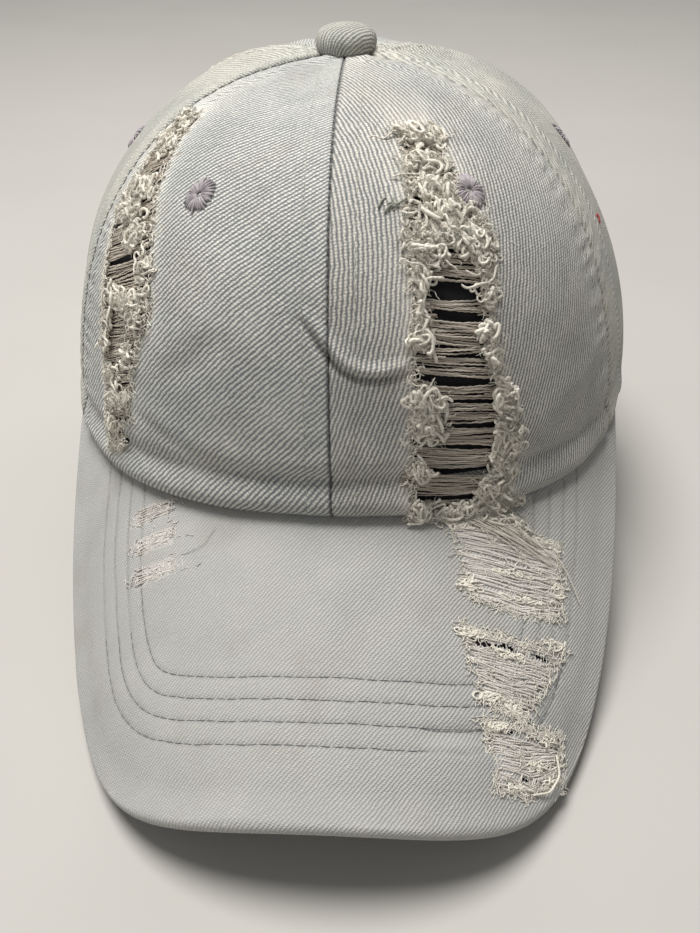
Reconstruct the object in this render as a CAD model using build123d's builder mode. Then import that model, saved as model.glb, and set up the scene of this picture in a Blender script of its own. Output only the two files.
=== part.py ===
"""Six-panel denim baseball cap with a bent visor and a buckled strap, standing on a table.

Millimetres. +Z is up and the visor points to -Y. The origin is the centre of the head opening, on the
plane that the cap stands on: the rear of the rim and the two front corners of the visor touch z = 0.
Left is -X and right is +X, as the cap is seen from its front. An angle on the crown is counted from
the centre front, positive to the right, so the centre back is 180 degrees.
"""

import os
from math import asin, atan2, cos, degrees, hypot, pi, radians, sin, sqrt

from build123d import *

# ---------------------------------------------------------------- driving dimensions
# Crown: an ellipse in plan, a superellipse in every upright plane through the Z axis.
HALF_WIDTH = 84.8
HALF_LENGTH = 93.5
CROWN_HEIGHT = 129.8
FRONT_EXPONENT = 3.6  # the front stands up square, the back is rounder
SIDE_EXPONENT = 2.6
BACK_EXPONENT = 2.15
PANEL_ANGLE = 60.0  # six equal panels
CLOTH = 1.1  # denim, one layer
CROWN_HOLE_R = 2.6  # where the six panels meet, under the button

# Rim line of the sides and back: flat on the table behind, then rising to the visor.
RIM_FLAT_FROM_Y = 80.0
RIM_SLOPE = 0.415
RIM_BLEND = 12.0

# Visor: a sheet bent round a line that falls forward, more tightly bent at its front.
VISOR_ROOT_Z = 49.4
VISOR_SLOPE = 23.5
VISOR_ROOT_RADIUS = 95.0
VISOR_RADIUS_LOSS = 0.48  # mm of radius lost for each mm forward
VISOR_LENGTH = 67.2  # along the slope, at the middle
VISOR_HALF_FLAT_WIDTH = 83.7  # of the flat pattern
VISOR_PATTERN_BACK = 67.6  # the pattern's widest line lies this far behind the root
VISOR_CORNER_EXPONENT = 3.97
VISOR_BOARD = 2.0
VISOR_BOARD_INSET = 1.2
EAR_ANGLE = 66.0  # where the visor's ear leaves the crown
EAR_BLEND = 8.0
VISOR_EAR_Y = -40.0  # the ear stops here, inside the crown's wall

# Cloth layers inside the crown.
BACKING_CLOTH = 0.4
TAPE_CLOTH = 0.6
BAND_CLOTH = 1.0
LABEL_CLOTH = 0.4
TAPE_WIDTH = 14.0
TAPE_END_R = 15.5
HEM_HEIGHT = 9.0
HEM_END_ANGLE = 138.0
BAND_HEIGHT = 32.0
BAND_END_ANGLE = 157.0
LINING_EDGE_ANGLE = 0.6
LINING_TOP_R = 10.0

# Embroidered eyelets.
EYELET_R = 3.5
EYELET_HOLE_R = 1.1
EYELET_BARREL_R = 1.9
EYELET_RISE = 0.6
EYELET_ANGLE = 28.6
EYELET_HEIGHT = 117.0

# Button.
BUTTON_R = 7.8
BUTTON_HEIGHT = 6.2
BUTTON_CLOTH = 0.9
POST_R = 1.5
WASHER_R = 8.0
WASHER = 0.8
WASHER_DROP = 0.6

# Rear opening, strap and buckle.
OPENING_HALF_WIDTH = 36.0
OPENING_HEIGHT = 52.0
BINDING_WIDTH = 5.0
BINDING_CLOTH = 0.6
# The strap and its buckle follow a round arc through the centre back. A run is a distance along that
# arc from the centre back, positive to +X.
STRAP_WIDTH = 20.0
STRAP_MID_Z = 13.6
STRAP_CLOTH = 1.0
STRAP_RUN = (-48.8, 42.7)
TAB_CLOTH = 0.9
TAB_WIDTH = 19.0
TAB_END_RUN = 51.5
TAB_LOOP_R = 2.0
BUCKLE_RUN = (4.1, 29.1)
BUCKLE_METAL = 1.0
BUCKLE_EDGE_GAP = 1.4  # between the strap's edge and each cheek
BUCKLE_STAND_OUT = 1.6  # how far the cheeks stand out past the crown's outer face
BAR_R = 1.0
BAR_RUN = 25.7
PIN_R = 1.0
PIN_RUN = 17.1
LEVER_WALL = 1.1  # round the pin
LEVER_PLATE = 0.9
LEVER_RUN = 4.9  # where the closed lever's tip lies
LEVER_LIP = 1.4

# Clearances.
TOUCH = 0.1  # between two layers of one body
SEAT = 0.25  # between the crown's rim and the visor it sits on
FREE = 0.4  # round anything that moves
RUNNING = 0.05  # between the lever and its pin
LOOSE = 0.3  # between the crown and the tapes sewn over its seams
LEAN = 1.2  # the wall leans this much over the strap's width
STRAP_ROOM = 0.7  # between the strap and the sweatband, whose arcs differ a little

# ---------------------------------------------------------------- sizes that follow from these
# Layers, as depths below the crown's outer face.
LINING_DEPTH = (CLOTH + TOUCH, CLOTH + TOUCH + BACKING_CLOTH)
TAPE_TOP = LINING_DEPTH[1] + LOOSE
TAPE_DEPTH = (TAPE_TOP, TAPE_TOP + TAPE_CLOTH)
TAB_TOP = CLOTH + BINDING_CLOTH + LEAN
TAB_DEPTH = (TAB_TOP, TAB_TOP + TAB_CLOTH)
STRAP_TOP = TAB_DEPTH[1] + FREE
STRAP_DEPTH = (STRAP_TOP, STRAP_TOP + STRAP_CLOTH)
BAND_TOP = STRAP_DEPTH[1] + STRAP_ROOM
BAND_DEPTH = (BAND_TOP, BAND_TOP + BAND_CLOTH)
HEM_DEPTH = (TAPE_TOP, BAND_TOP - 2 * LOOSE)
LABEL_DEPTH = (BAND_DEPTH[1] + 2 * TOUCH, BAND_DEPTH[1] + 2 * TOUCH + LABEL_CLOTH)
VISOR_UNDER_CROWN = HEM_DEPTH[1]
VISOR_THICKNESS = 2 * CLOTH + VISOR_BOARD + 2 * TOUCH
# The crown's reach at the visor, as a share of its reach at the table.
VISOR_WALL_LEAN = (1 - (VISOR_ROOT_Z / CROWN_HEIGHT) ** FRONT_EXPONENT) ** (1 / FRONT_EXPONENT)
STRAP_ARC_R = HALF_WIDTH**2 / HALF_LENGTH + STRAP_ROOM
BAR_DEPTH = TAB_DEPTH[1] - TAB_LOOP_R
LEVER_HUB_R = PIN_R + LEVER_WALL
PIN_DEPTH = STRAP_DEPTH[0] - LEVER_HUB_R - 3 * FREE
LEVER_TOP = PIN_DEPTH - PIN_R - RUNNING - LEVER_PLATE / 3
LEVER_DEPTH = (LEVER_TOP, LEVER_TOP + LEVER_PLATE)


def turn_at(run):
    """The angle, on the strap's arc, of a distance along it."""
    return degrees(run / STRAP_ARC_R)


STRAP_ANGLES = (turn_at(STRAP_RUN[0]), turn_at(STRAP_RUN[1]))
TAB_END_ANGLE = turn_at(TAB_END_RUN)
BUCKLE_ANGLES = (turn_at(BUCKLE_RUN[0]), turn_at(BUCKLE_RUN[1]))
BAR_ANGLE = turn_at(BAR_RUN)
PIN_ANGLE = turn_at(PIN_RUN)
LEVER_ANGLE = turn_at(LEVER_RUN)


# ---------------------------------------------------------------- the crown's surface
def exponent_at(angle):
    """The superellipse exponent of the upright profile at an angle, in degrees from the front."""
    turn = cos(radians(angle))
    end = FRONT_EXPONENT if turn > 0 else BACK_EXPONENT
    return SIDE_EXPONENT + (end - SIDE_EXPONENT) * turn * turn


def reach_at(angle):
    """The plan direction at an angle, and the crown's reach along it at its base."""
    across, along = HALF_WIDTH * sin(radians(angle)), -HALF_LENGTH * cos(radians(angle))
    reach = hypot(across, along)
    return across / reach, along / reach, reach


def sunk_point(angle, share, rise, depth):
    """(radius, height) of a point sunk by depth below the outer face. share and rise are fractions
    of the reach and of the crown's height."""
    power = exponent_at(angle)
    reach = reach_at(angle)[2]
    normal_r = share ** (power - 1) / reach
    normal_z = rise ** (power - 1) / CROWN_HEIGHT
    length = hypot(normal_r, normal_z)
    return (
        share * reach - depth * normal_r / length,
        rise * CROWN_HEIGHT - depth * normal_z / length,
    )


def profile_points(angle, depth):
    """Closely spaced (radius, height) points from the base to the top, at a depth."""
    power = exponent_at(angle)
    shoulder = 0.5 ** (1 / power)
    steps = 90
    wall = [shoulder * k / steps for k in range(steps)]
    roof = [shoulder * (1 - k / steps) for k in range(steps + 1)]
    points = [sunk_point(angle, (1 - z**power) ** (1 / power), z, depth) for z in wall]
    points += [sunk_point(angle, r, (1 - r**power) ** (1 / power), depth) for r in roof]
    return points


def between(a, b, t):
    return a[0] + (b[0] - a[0]) * t, a[1] + (b[1] - a[1]) * t


def trimmed_profile(angle, depth, low_z, end_r=None, high_z=None, count=10):
    """count evenly spaced points of the profile, from height low_z to radius end_r or height high_z."""
    points = profile_points(angle, depth)
    kept = []
    for a, b in zip(points, points[1:]):
        if not kept:
            if b[1] > low_z:
                kept.append(between(a, b, max(0.0, (low_z - a[1]) / (b[1] - a[1]))))
                kept.append(b)
            continue
        if end_r is not None and b[0] < end_r:
            kept.append(between(a, b, (end_r - a[0]) / (b[0] - a[0])))
            break
        if high_z is not None and b[1] > high_z:
            kept.append(between(a, b, (high_z - a[1]) / (b[1] - a[1])))
            break
        kept.append(b)
    walked = [0.0]
    for a, b in zip(kept, kept[1:]):
        walked.append(walked[-1] + hypot(b[0] - a[0], b[1] - a[1]))
    chosen, k = [], 0
    for n in range(count):
        target = walked[-1] * n / (count - 1)
        while k < len(kept) - 2 and walked[k + 1] < target:
            k += 1
        chosen.append(between(kept[k], kept[k + 1], (target - walked[k]) / (walked[k + 1] - walked[k])))
    return chosen


def radial_plane(angle):
    """The upright plane through the Z axis at an angle: local x is outward, local y is up."""
    across, along, _ = reach_at(angle)
    return Plane(origin=(0, 0, 0), x_dir=(across, along, 0), z_dir=(along, -across, 0))


def crown_point(angle, rise):
    """The outer point of the crown at an angle and a height in mm."""
    power = exponent_at(angle)
    across, along, reach = reach_at(angle)
    share = (1 - (rise / CROWN_HEIGHT) ** power) ** (1 / power)
    return Vector(share * reach * across, share * reach * along, rise)


# ---------------------------------------------------------------- the visor's surface
def visor_radius(forward):
    return VISOR_ROOT_RADIUS - VISOR_RADIUS_LOSS * forward


def visor_height(x, y):
    """Height of the visor's top face over a point in plan."""
    slope = radians(VISOR_SLOPE)
    forward = 0.0
    for _ in range(12):
        radius = visor_radius(forward)
        drop = radius - sqrt(radius**2 - x**2)
        forward = (drop * sin(slope) - (y + HALF_LENGTH)) / cos(slope)
    return VISOR_ROOT_Z - forward * sin(slope) - drop * cos(slope)


def rim_side_height(y):
    """Height of the rim away from the visor."""
    ahead = RIM_FLAT_FROM_Y - y
    if ahead <= 0:
        return 0.0
    if ahead < 2 * RIM_BLEND:
        return RIM_SLOPE * ahead**2 / (4 * RIM_BLEND)
    return RIM_SLOPE * (ahead - RIM_BLEND)


def rim_height(angle, depth):
    """Height of the crown's lower edge at an angle, at a depth inside the wall."""
    across, along, reach = reach_at(angle)
    side = rim_side_height(reach * along)
    past_ear = (abs(angle) - EAR_ANGLE) / EAR_BLEND
    if past_ear >= 1:
        return side
    height = VISOR_ROOT_Z
    for _ in range(6):
        radius = min(profile_points(angle, depth), key=lambda p: abs(p[1] - height))[0]
        height = visor_height(radius * across, radius * along) + SEAT
    if past_ear <= 0:
        return height
    share = past_ear * past_ear * (3 - 2 * past_ear)
    return height + (side - height) * share


def band_low_height(angle):
    """Height of the sweatband's lower edge: it covers the visor's inner edge from inside."""
    across, along, reach = reach_at(angle)
    side = rim_side_height(reach * along)
    if abs(angle) > EAR_ANGLE:
        return side
    inner = reach - BAND_DEPTH[0]
    return min(side, visor_height(inner * across, inner * along) - VISOR_THICKNESS - SEAT)


# ---------------------------------------------------------------- shells between two angles
def angles_between(start, end, step):
    count = max(2, round(abs(end - start) / step))
    return [start + (end - start) * k / count for k in range(count + 1)]


def shell_between(start, end, depths, low_of, end_r=None, height=None, step=10.0, count=10):
    """A shell from angle start to angle end, lofted through upright sections.

    depths are those of its outer and inner face. low_of(angle, depth) is the height of its lower edge.
    It ends above at radius end_r, or at a given height over its lower edge.
    """
    with BuildPart() as shell:
        for angle in angles_between(start, end, step):
            sides = []
            for depth in depths:
                low = low_of(angle, depth)
                high = None if height is None else low + height
                sides.append(trimmed_profile(angle, depth, low, end_r, high, count))
            outer, inner = sides
            with BuildSketch(radial_plane(angle)):
                with BuildLine():
                    Spline(*outer)
                    Line(outer[-1], inner[-1])
                    Spline(*reversed(inner))
                    Line(inner[0], outer[0])
                make_face()
        loft()
    return shell


def roof_shell(start, end, depths, low_lift=0.0, end_r=CROWN_HOLE_R, step=6.0):
    """A shell that follows the crown from its rim, or low_lift above it, to a small hole at the top."""
    return shell_between(start, end, depths, lambda a, d: rim_height(a, d) + low_lift, end_r=end_r, step=step)


def band_shell(start, end, depths, low_of, height, step=6.0):
    """A shell that follows the rim as a band of a given height."""
    return shell_between(start, end, depths, lambda a, d: low_of(a), height=height, step=step, count=5)


# ---------------------------------------------------------------- tools that cut the crown
def opening_arch(grow):
    """The rear opening's outline, grown by a margin, as a prism through the back of the crown."""
    half_width = OPENING_HALF_WIDTH + grow
    height = OPENING_HEIGHT + grow
    with BuildPart() as arch:
        with BuildSketch(Plane.XZ.offset(-HALF_LENGTH / 2)):
            with BuildLine():
                EllipticalCenterArc((0, 0), half_width, height, start_angle=0, arc_size=180)
                Polyline((-half_width, 0), (-half_width, -10), (half_width, -10), (half_width, 0))
            make_face()
        extrude(amount=-HALF_LENGTH)
    return arch


def eyelet_plane(angle, height):
    """The plane that touches the crown's outer face, local z outward."""
    step = 1.0
    sideways = crown_point(angle + step, height) - crown_point(angle - step, height)
    upward = crown_point(angle, height + step) - crown_point(angle, height - step)
    return Plane(origin=crown_point(angle, height), z_dir=sideways.cross(upward))


EYELETS = {
    "front_left": (-EYELET_ANGLE, EYELET_HEIGHT),
    "front_right": (EYELET_ANGLE, EYELET_HEIGHT),
    "side_left": (-90.0, EYELET_HEIGHT - 9.0),
    "side_right": (90.0, EYELET_HEIGHT - 9.0),
    "rear_left": (-150.0, EYELET_HEIGHT - 12.0),
    "rear_right": (150.0, EYELET_HEIGHT - 12.0),
}
PANELS = {
    "front_left": (-PANEL_ANGLE, 0.0),
    "front_right": (0.0, PANEL_ANGLE),
    "side_left": (-2 * PANEL_ANGLE, -PANEL_ANGLE),
    "side_right": (PANEL_ANGLE, 2 * PANEL_ANGLE),
    "rear_left": (-3 * PANEL_ANGLE, -2 * PANEL_ANGLE),
    "rear_right": (2 * PANEL_ANGLE, 3 * PANEL_ANGLE),
}
os.makedirs("parts", exist_ok=True)


def write(builder, name):
    builder.part.label = name
    export_step(builder.part, f"parts/{name}.step")


# ---------------------------------------------------------------- crown panels and eyelets
for place, (start, end) in PANELS.items():
    shell = roof_shell(start, end, (0.0, CLOTH))
    with BuildPart() as panel:
        add(shell.part)
        with BuildSketch(eyelet_plane(*EYELETS[place])):
            Circle(EYELET_BARREL_R + TOUCH)
        extrude(amount=2 * CLOTH, both=True, mode=Mode.SUBTRACT)
        if place.startswith("rear"):
            add(opening_arch(0.0).part, mode=Mode.SUBTRACT)
    write(panel, f"panel_{place}")

    plane = eyelet_plane(*EYELETS[place])
    with BuildPart() as eyelet:
        with BuildSketch(plane.offset(TOUCH)):
            Circle(EYELET_R)
            Circle(EYELET_HOLE_R, mode=Mode.SUBTRACT)
        extrude(amount=EYELET_RISE)
        fillet(eyelet.edges().filter_by(GeomType.CIRCLE).group_by(SortBy.RADIUS)[-1], EYELET_RISE / 3)
        with BuildSketch(plane.offset(TOUCH)):
            Circle(EYELET_BARREL_R)
            Circle(EYELET_HOLE_R, mode=Mode.SUBTRACT)
        extrude(amount=-CLOTH - TOUCH)
    write(eyelet, f"eyelet_{place}")

# ---------------------------------------------------------------- black backing behind the worn front
for side, (start, end) in {"left": (-PANEL_ANGLE, 0.0), "right": (0.0, PANEL_ANGLE)}.items():
    shell = roof_shell(
        start + LINING_EDGE_ANGLE,
        end - LINING_EDGE_ANGLE,
        LINING_DEPTH,
        low_lift=TOUCH,
        end_r=LINING_TOP_R,
    )
    with BuildPart() as lining:
        add(shell.part)
        with BuildSketch(eyelet_plane(*EYELETS[f"front_{side}"])):
            Circle(EYELET_BARREL_R + TOUCH)
        extrude(amount=2 * LINING_DEPTH[1], both=True, mode=Mode.SUBTRACT)
    write(lining, f"front_backing_{side}")

# ---------------------------------------------------------------- tapes over the seams, inside
TAPES = {
    "front": 0.0,
    "front_right": PANEL_ANGLE,
    "rear_right": 2 * PANEL_ANGLE,
    "rear": 3 * PANEL_ANGLE,
    "rear_left": -2 * PANEL_ANGLE,
    "front_left": -PANEL_ANGLE,
}
TAPE_SPREAD = degrees(asin(TAPE_WIDTH / 2 / TAPE_END_R)) + 4
for place, seam in TAPES.items():
    across, along, reach = reach_at(seam)
    shell = roof_shell(
        seam - TAPE_SPREAD,
        seam + TAPE_SPREAD,
        TAPE_DEPTH,
        low_lift=HEM_HEIGHT + 6.0,
        end_r=TAPE_END_R,
    )
    with BuildPart() as tape:
        add(shell.part)
        with BuildSketch(Plane(origin=(0, 0, 0), x_dir=(across, along, 0), z_dir=(0, 0, 1))):
            with Locations((reach / 2 + TAPE_END_R / 2, 0)):
                Rectangle(reach, TAPE_WIDTH)
        extrude(amount=CROWN_HEIGHT, mode=Mode.INTERSECT)
        if place == "rear":
            add(opening_arch(BINDING_WIDTH + 1).part, mode=Mode.SUBTRACT)
    write(tape, f"seam_tape_{place}")

# ---------------------------------------------------------------- hem, sweatband and label
def hem_low_height(angle):
    return rim_height(angle, HEM_DEPTH[1]) + TOUCH


hem = band_shell(-HEM_END_ANGLE, HEM_END_ANGLE, HEM_DEPTH, hem_low_height, HEM_HEIGHT)
write(hem, "rim_hem")

band = band_shell(-BAND_END_ANGLE, BAND_END_ANGLE, BAND_DEPTH, band_low_height, BAND_HEIGHT)
with BuildPart() as sweatband:
    add(band.part)
    add(opening_arch(0.0).part, mode=Mode.SUBTRACT)
write(sweatband, "sweatband")

label = band_shell(-136.0, -112.0, LABEL_DEPTH, lambda a: band_low_height(a) + 6.0, 18.0, step=6.0)
write(label, "care_label")

# ---------------------------------------------------------------- binding round the rear opening
OPENING_ANGLE = degrees(asin((OPENING_HALF_WIDTH + BINDING_WIDTH + 4) / HALF_WIDTH))
back = (180 - OPENING_ANGLE, 180 + OPENING_ANGLE)
binding_outer = roof_shell(*back, (-BINDING_CLOTH, CLOTH + BINDING_CLOTH), low_lift=TOUCH, end_r=40.0)
binding_inner = roof_shell(*back, (-TOUCH, CLOTH + TOUCH), low_lift=-1.0, end_r=38.0)
with BuildPart() as binding:
    add(binding_outer.part)
    add(opening_arch(BINDING_WIDTH).part, mode=Mode.INTERSECT)
    add(opening_arch(-BINDING_CLOTH).part, mode=Mode.SUBTRACT)
    with BuildPart(mode=Mode.PRIVATE) as slot:
        add(binding_inner.part)
        add(opening_arch(-TOUCH).part, mode=Mode.SUBTRACT)
    add(slot.part, mode=Mode.SUBTRACT)
write(binding, "opening_binding")

# ---------------------------------------------------------------- button
button_base = CROWN_HEIGHT + TOUCH
with BuildPart() as button_cover:
    with Locations((0, 0, button_base)):
        Cylinder(BUTTON_R, BUTTON_HEIGHT, align=(Align.CENTER, Align.CENTER, Align.MIN))
    fillet(button_cover.edges().group_by(Axis.Z)[-1], 3.6)
    fillet(button_cover.edges().group_by(Axis.Z)[0], 1.2)
    with BuildPart(mode=Mode.PRIVATE) as button_core:
        with Locations((0, 0, button_base)):
            Cylinder(
                BUTTON_R - BUTTON_CLOTH,
                BUTTON_HEIGHT - BUTTON_CLOTH,
                align=(Align.CENTER, Align.CENTER, Align.MIN),
            )
        fillet(button_core.edges().group_by(Axis.Z)[-1], 3.0)
    add(button_core.part, mode=Mode.SUBTRACT)
write(button_cover, "button_cover")

washer_top = CROWN_HEIGHT - CLOTH - WASHER_DROP
with BuildPart() as button_rivet:
    with Locations((0, 0, button_base)):
        Cylinder(
            BUTTON_R - BUTTON_CLOTH - TOUCH,
            BUTTON_HEIGHT - BUTTON_CLOTH - TOUCH,
            align=(Align.CENTER, Align.CENTER, Align.MIN),
        )
    fillet(button_rivet.edges().group_by(Axis.Z)[-1], 3.0)
    with Locations((0, 0, washer_top - WASHER - TOUCH)):
        Cylinder(
            POST_R,
            button_base - washer_top + WASHER + TOUCH,
            align=(Align.CENTER, Align.CENTER, Align.MIN),
        )
write(button_rivet, "button_rivet")

with BuildPart() as button_washer:
    with Locations((0, 0, washer_top)):
        Cylinder(WASHER_R, WASHER, align=(Align.CENTER, Align.CENTER, Align.MAX))
        Cylinder(
            POST_R + TOUCH,
            WASHER,
            align=(Align.CENTER, Align.CENTER, Align.MAX),
            mode=Mode.SUBTRACT,
        )
write(button_washer, "button_washer")


# ---------------------------------------------------------------- visor
def visor_sheet(depths, inset, under=VISOR_UNDER_CROWN):
    """A layer of the visor between two depths below its top face, its outline inset by a margin."""
    slope = radians(VISOR_SLOPE)
    forward_dir = Vector(0, -cos(slope), -sin(slope))
    up_dir = Vector(0, -sin(slope), cos(slope))
    root = Vector(0, -HALF_LENGTH, VISOR_ROOT_Z)

    edge = []
    steps = 24
    for k in range(-steps, steps + 1):
        turn = radians(90.0 * k / steps)
        flat = (VISOR_HALF_FLAT_WIDTH - inset) * abs(sin(turn)) ** (2 / VISOR_CORNER_EXPONENT)
        ahead = -VISOR_PATTERN_BACK + (VISOR_LENGTH - inset + VISOR_PATTERN_BACK) * abs(cos(turn)) ** (
            2 / VISOR_CORNER_EXPONENT
        )
        radius = visor_radius(ahead)
        across = radius * sin(flat / radius)
        edge.append((across if k > 0 else -across, -ahead))

    with BuildPart() as sheet:
        for ahead in (-VISOR_PATTERN_BACK - 4, -35, 0, 35, VISOR_LENGTH + 2):
            radius = visor_radius(ahead)
            outer, inner = radius - depths[0], radius - depths[1]
            half_turn = (VISOR_HALF_FLAT_WIDTH + 5) / radius
            ends = [
                (outer * sin(half_turn), outer * cos(half_turn) - radius),
                (inner * sin(half_turn), inner * cos(half_turn) - radius),
            ]
            with BuildSketch(Plane(origin=root + forward_dir * ahead, x_dir=(1, 0, 0), z_dir=forward_dir)):
                with BuildLine():
                    ThreePointArc((-ends[0][0], ends[0][1]), (0, outer - radius), ends[0])
                    Line(ends[0], ends[1])
                    ThreePointArc(ends[1], (0, inner - radius), (-ends[1][0], ends[1][1]))
                    Line((-ends[1][0], ends[1][1]), (-ends[0][0], ends[0][1]))
                make_face()
        loft()
        with BuildSketch(Plane(origin=root, x_dir=(1, 0, 0), z_dir=up_dir)):
            with BuildLine():
                Spline(*edge)
                Line(edge[-1], edge[0])
            make_face()
        extrude(amount=90, both=True, mode=Mode.INTERSECT)
        with BuildSketch(Plane.XY.offset(-20)):
            Ellipse(HALF_WIDTH * VISOR_WALL_LEAN - under, HALF_LENGTH * VISOR_WALL_LEAN - under)
        extrude(amount=CROWN_HEIGHT, mode=Mode.SUBTRACT)
        with BuildSketch(Plane.XY.offset(-20)):
            with Locations((0, VISOR_EAR_Y)):
                Rectangle(4 * HALF_WIDTH, 2 * HALF_LENGTH, align=(Align.CENTER, Align.MIN))
        extrude(amount=CROWN_HEIGHT, mode=Mode.SUBTRACT)
    return sheet


skirt_inset = CLOTH + TOUCH
with BuildPart() as visor_top_cover:
    add(visor_sheet((0.0, VISOR_THICKNESS), 0.0).part)
    add(visor_sheet((CLOTH, VISOR_THICKNESS + 1), CLOTH, VISOR_UNDER_CROWN + 2).part, mode=Mode.SUBTRACT)
write(visor_top_cover, "visor_top_cover")

board_top = CLOTH + TOUCH
write(visor_sheet((board_top, board_top + VISOR_BOARD), skirt_inset), "visor_board")

under_top = board_top + VISOR_BOARD + TOUCH
write(visor_sheet((under_top, under_top + CLOTH), skirt_inset), "visor_under_cover")


# ---------------------------------------------------------------- strap and buckle
ARC_CENTRE_Y = HALF_LENGTH - STRAP_ARC_R


def arc_point(angle, depth):
    radius = STRAP_ARC_R - depth
    return radius * sin(radians(angle)), ARC_CENTRE_Y + radius * cos(radians(angle))


def arc_block(angles, depths, width):
    """A block bent round the strap's arc, centred on the strap's height."""
    start, end = angles
    outer, inner = depths
    middle = (start + end) / 2
    with BuildPart() as block:
        with BuildSketch(Plane.XY.offset(STRAP_MID_Z - width / 2)):
            with BuildLine():
                ThreePointArc(arc_point(start, outer), arc_point(middle, outer), arc_point(end, outer))
                Line(arc_point(end, outer), arc_point(end, inner))
                ThreePointArc(arc_point(end, inner), arc_point(middle, inner), arc_point(start, inner))
                Line(arc_point(start, inner), arc_point(start, outer))
            make_face()
        extrude(amount=width)
    return block


def arc_rod(angle, depth, radius, width):
    """An upright rod at a point of the strap's arc, centred on the strap's height."""
    x, y = arc_point(angle, depth)
    with BuildPart() as rod:
        with Locations((x, y, STRAP_MID_Z)):
            Cylinder(radius, width)
    return rod


with BuildPart() as strap:
    add(arc_block(STRAP_ANGLES, STRAP_DEPTH, STRAP_WIDTH).part)
    fillet(strap.edges().filter_by(lambda edge: edge.length < 2).group_by(Axis.X)[-1], 5.0)
write(strap, "adjuster_strap")

with BuildPart() as tab:
    add(arc_rod(BAR_ANGLE, BAR_DEPTH, TAB_LOOP_R, TAB_WIDTH).part)
    add(arc_block((BAR_ANGLE, TAB_END_ANGLE), TAB_DEPTH, TAB_WIDTH).part)
    add(arc_rod(BAR_ANGLE, BAR_DEPTH, BAR_R + TOUCH, TAB_WIDTH + 2).part, mode=Mode.SUBTRACT)
write(tab, "buckle_tab")

cheek_span = STRAP_WIDTH + 2 * BUCKLE_EDGE_GAP
plate_top = STRAP_DEPTH[1] + FREE
plate_depths = (plate_top, plate_top + BUCKLE_METAL)
cheek_depths = (-BUCKLE_STAND_OUT, plate_top + BUCKLE_METAL)
with BuildPart() as buckle:
    add(arc_block(BUCKLE_ANGLES, cheek_depths, cheek_span + 2 * BUCKLE_METAL).part)
    fillet(buckle.edges().filter_by(Axis.Z).sort_by(Axis.Y)[-1], 2.0)
    grown = (BUCKLE_ANGLES[0] - 3, BUCKLE_ANGLES[1] + 3)
    add(arc_block(grown, (-BUCKLE_STAND_OUT - 2, plate_top), cheek_span).part, mode=Mode.SUBTRACT)
    add(arc_rod(BAR_ANGLE, BAR_DEPTH, BAR_R, cheek_span + BUCKLE_METAL).part)
    add(
        arc_rod(PIN_ANGLE, PIN_DEPTH, PIN_R + TOUCH, cheek_span + 4 * BUCKLE_METAL).part,
        mode=Mode.SUBTRACT,
    )
write(buckle, "buckle_frame")

pin_length = cheek_span + 2 * BUCKLE_METAL + 0.8
with BuildPart() as pin:
    add(arc_rod(PIN_ANGLE, PIN_DEPTH, PIN_R, pin_length).part)
write(pin, "buckle_pin")

lever_width = cheek_span - 2 * FREE
with BuildPart() as lever:
    add(arc_rod(PIN_ANGLE, PIN_DEPTH, LEVER_HUB_R, lever_width).part)
    add(arc_block((LEVER_ANGLE, PIN_ANGLE), LEVER_DEPTH, lever_width).part)
    lip = (LEVER_ANGLE, LEVER_ANGLE + 1.0)
    add(arc_block(lip, (LEVER_DEPTH[0] - LEVER_LIP, LEVER_DEPTH[0] + 0.2), lever_width - 6).part)
    add(
        arc_rod(PIN_ANGLE, PIN_DEPTH, PIN_R + RUNNING, lever_width + 2).part,
        mode=Mode.SUBTRACT,
    )
write(lever, "buckle_lever")
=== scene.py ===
"""Looks of a worn denim baseball cap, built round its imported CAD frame. Metres; shapes are worked out
in millimetres and scaled when a mesh is made."""

from math import asin, cos, degrees, pi, radians, sin, sqrt

import bpy
import numpy as np
from mathutils import Matrix, Vector


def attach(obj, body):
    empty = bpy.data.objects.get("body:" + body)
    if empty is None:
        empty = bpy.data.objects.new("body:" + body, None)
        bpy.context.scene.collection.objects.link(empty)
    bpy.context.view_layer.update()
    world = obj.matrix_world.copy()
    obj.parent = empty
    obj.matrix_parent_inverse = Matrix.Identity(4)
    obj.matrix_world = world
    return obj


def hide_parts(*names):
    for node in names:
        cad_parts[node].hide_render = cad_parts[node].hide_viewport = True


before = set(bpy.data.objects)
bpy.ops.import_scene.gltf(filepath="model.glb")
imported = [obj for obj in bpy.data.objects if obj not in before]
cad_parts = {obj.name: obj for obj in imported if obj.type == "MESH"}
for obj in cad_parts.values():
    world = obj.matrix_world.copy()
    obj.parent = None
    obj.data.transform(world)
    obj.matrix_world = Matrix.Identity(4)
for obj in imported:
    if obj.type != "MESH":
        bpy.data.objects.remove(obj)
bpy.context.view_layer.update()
rng = np.random.default_rng(20)
scene = bpy.context.scene
MM = 0.001

# ---------------------------------------------------------------- sizes, as in the CAD
HALF_WIDTH, HALF_LENGTH, CROWN_HEIGHT = 84.8, 93.5, 129.8
FRONT_EXPONENT, SIDE_EXPONENT, BACK_EXPONENT = 3.6, 2.6, 2.15
RIM_FLAT_FROM_Y, RIM_SLOPE, RIM_BLEND = 80.0, 0.415, 12.0
EAR_ANGLE, EAR_BLEND = 66.0, 8.0
VISOR_ROOT_Z, VISOR_SLOPE = 49.4, radians(23.5)
VISOR_ROOT_RADIUS, VISOR_RADIUS_LOSS = 95.0, 0.48
VISOR_LENGTH, VISOR_HALF_FLAT, VISOR_BACK, VISOR_EXPONENT = 67.2, 83.7, 67.6, 3.97
VISOR_THICK = 4.4
HALF_VISOR = VISOR_THICK / 2
OPENING_HALF_WIDTH, OPENING_HEIGHT = 36.0, 52.0
ARC_R, STRAP_MID_Z = 77.6, 13.6
ARC_CENTRE_Y = HALF_LENGTH - ARC_R

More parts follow.
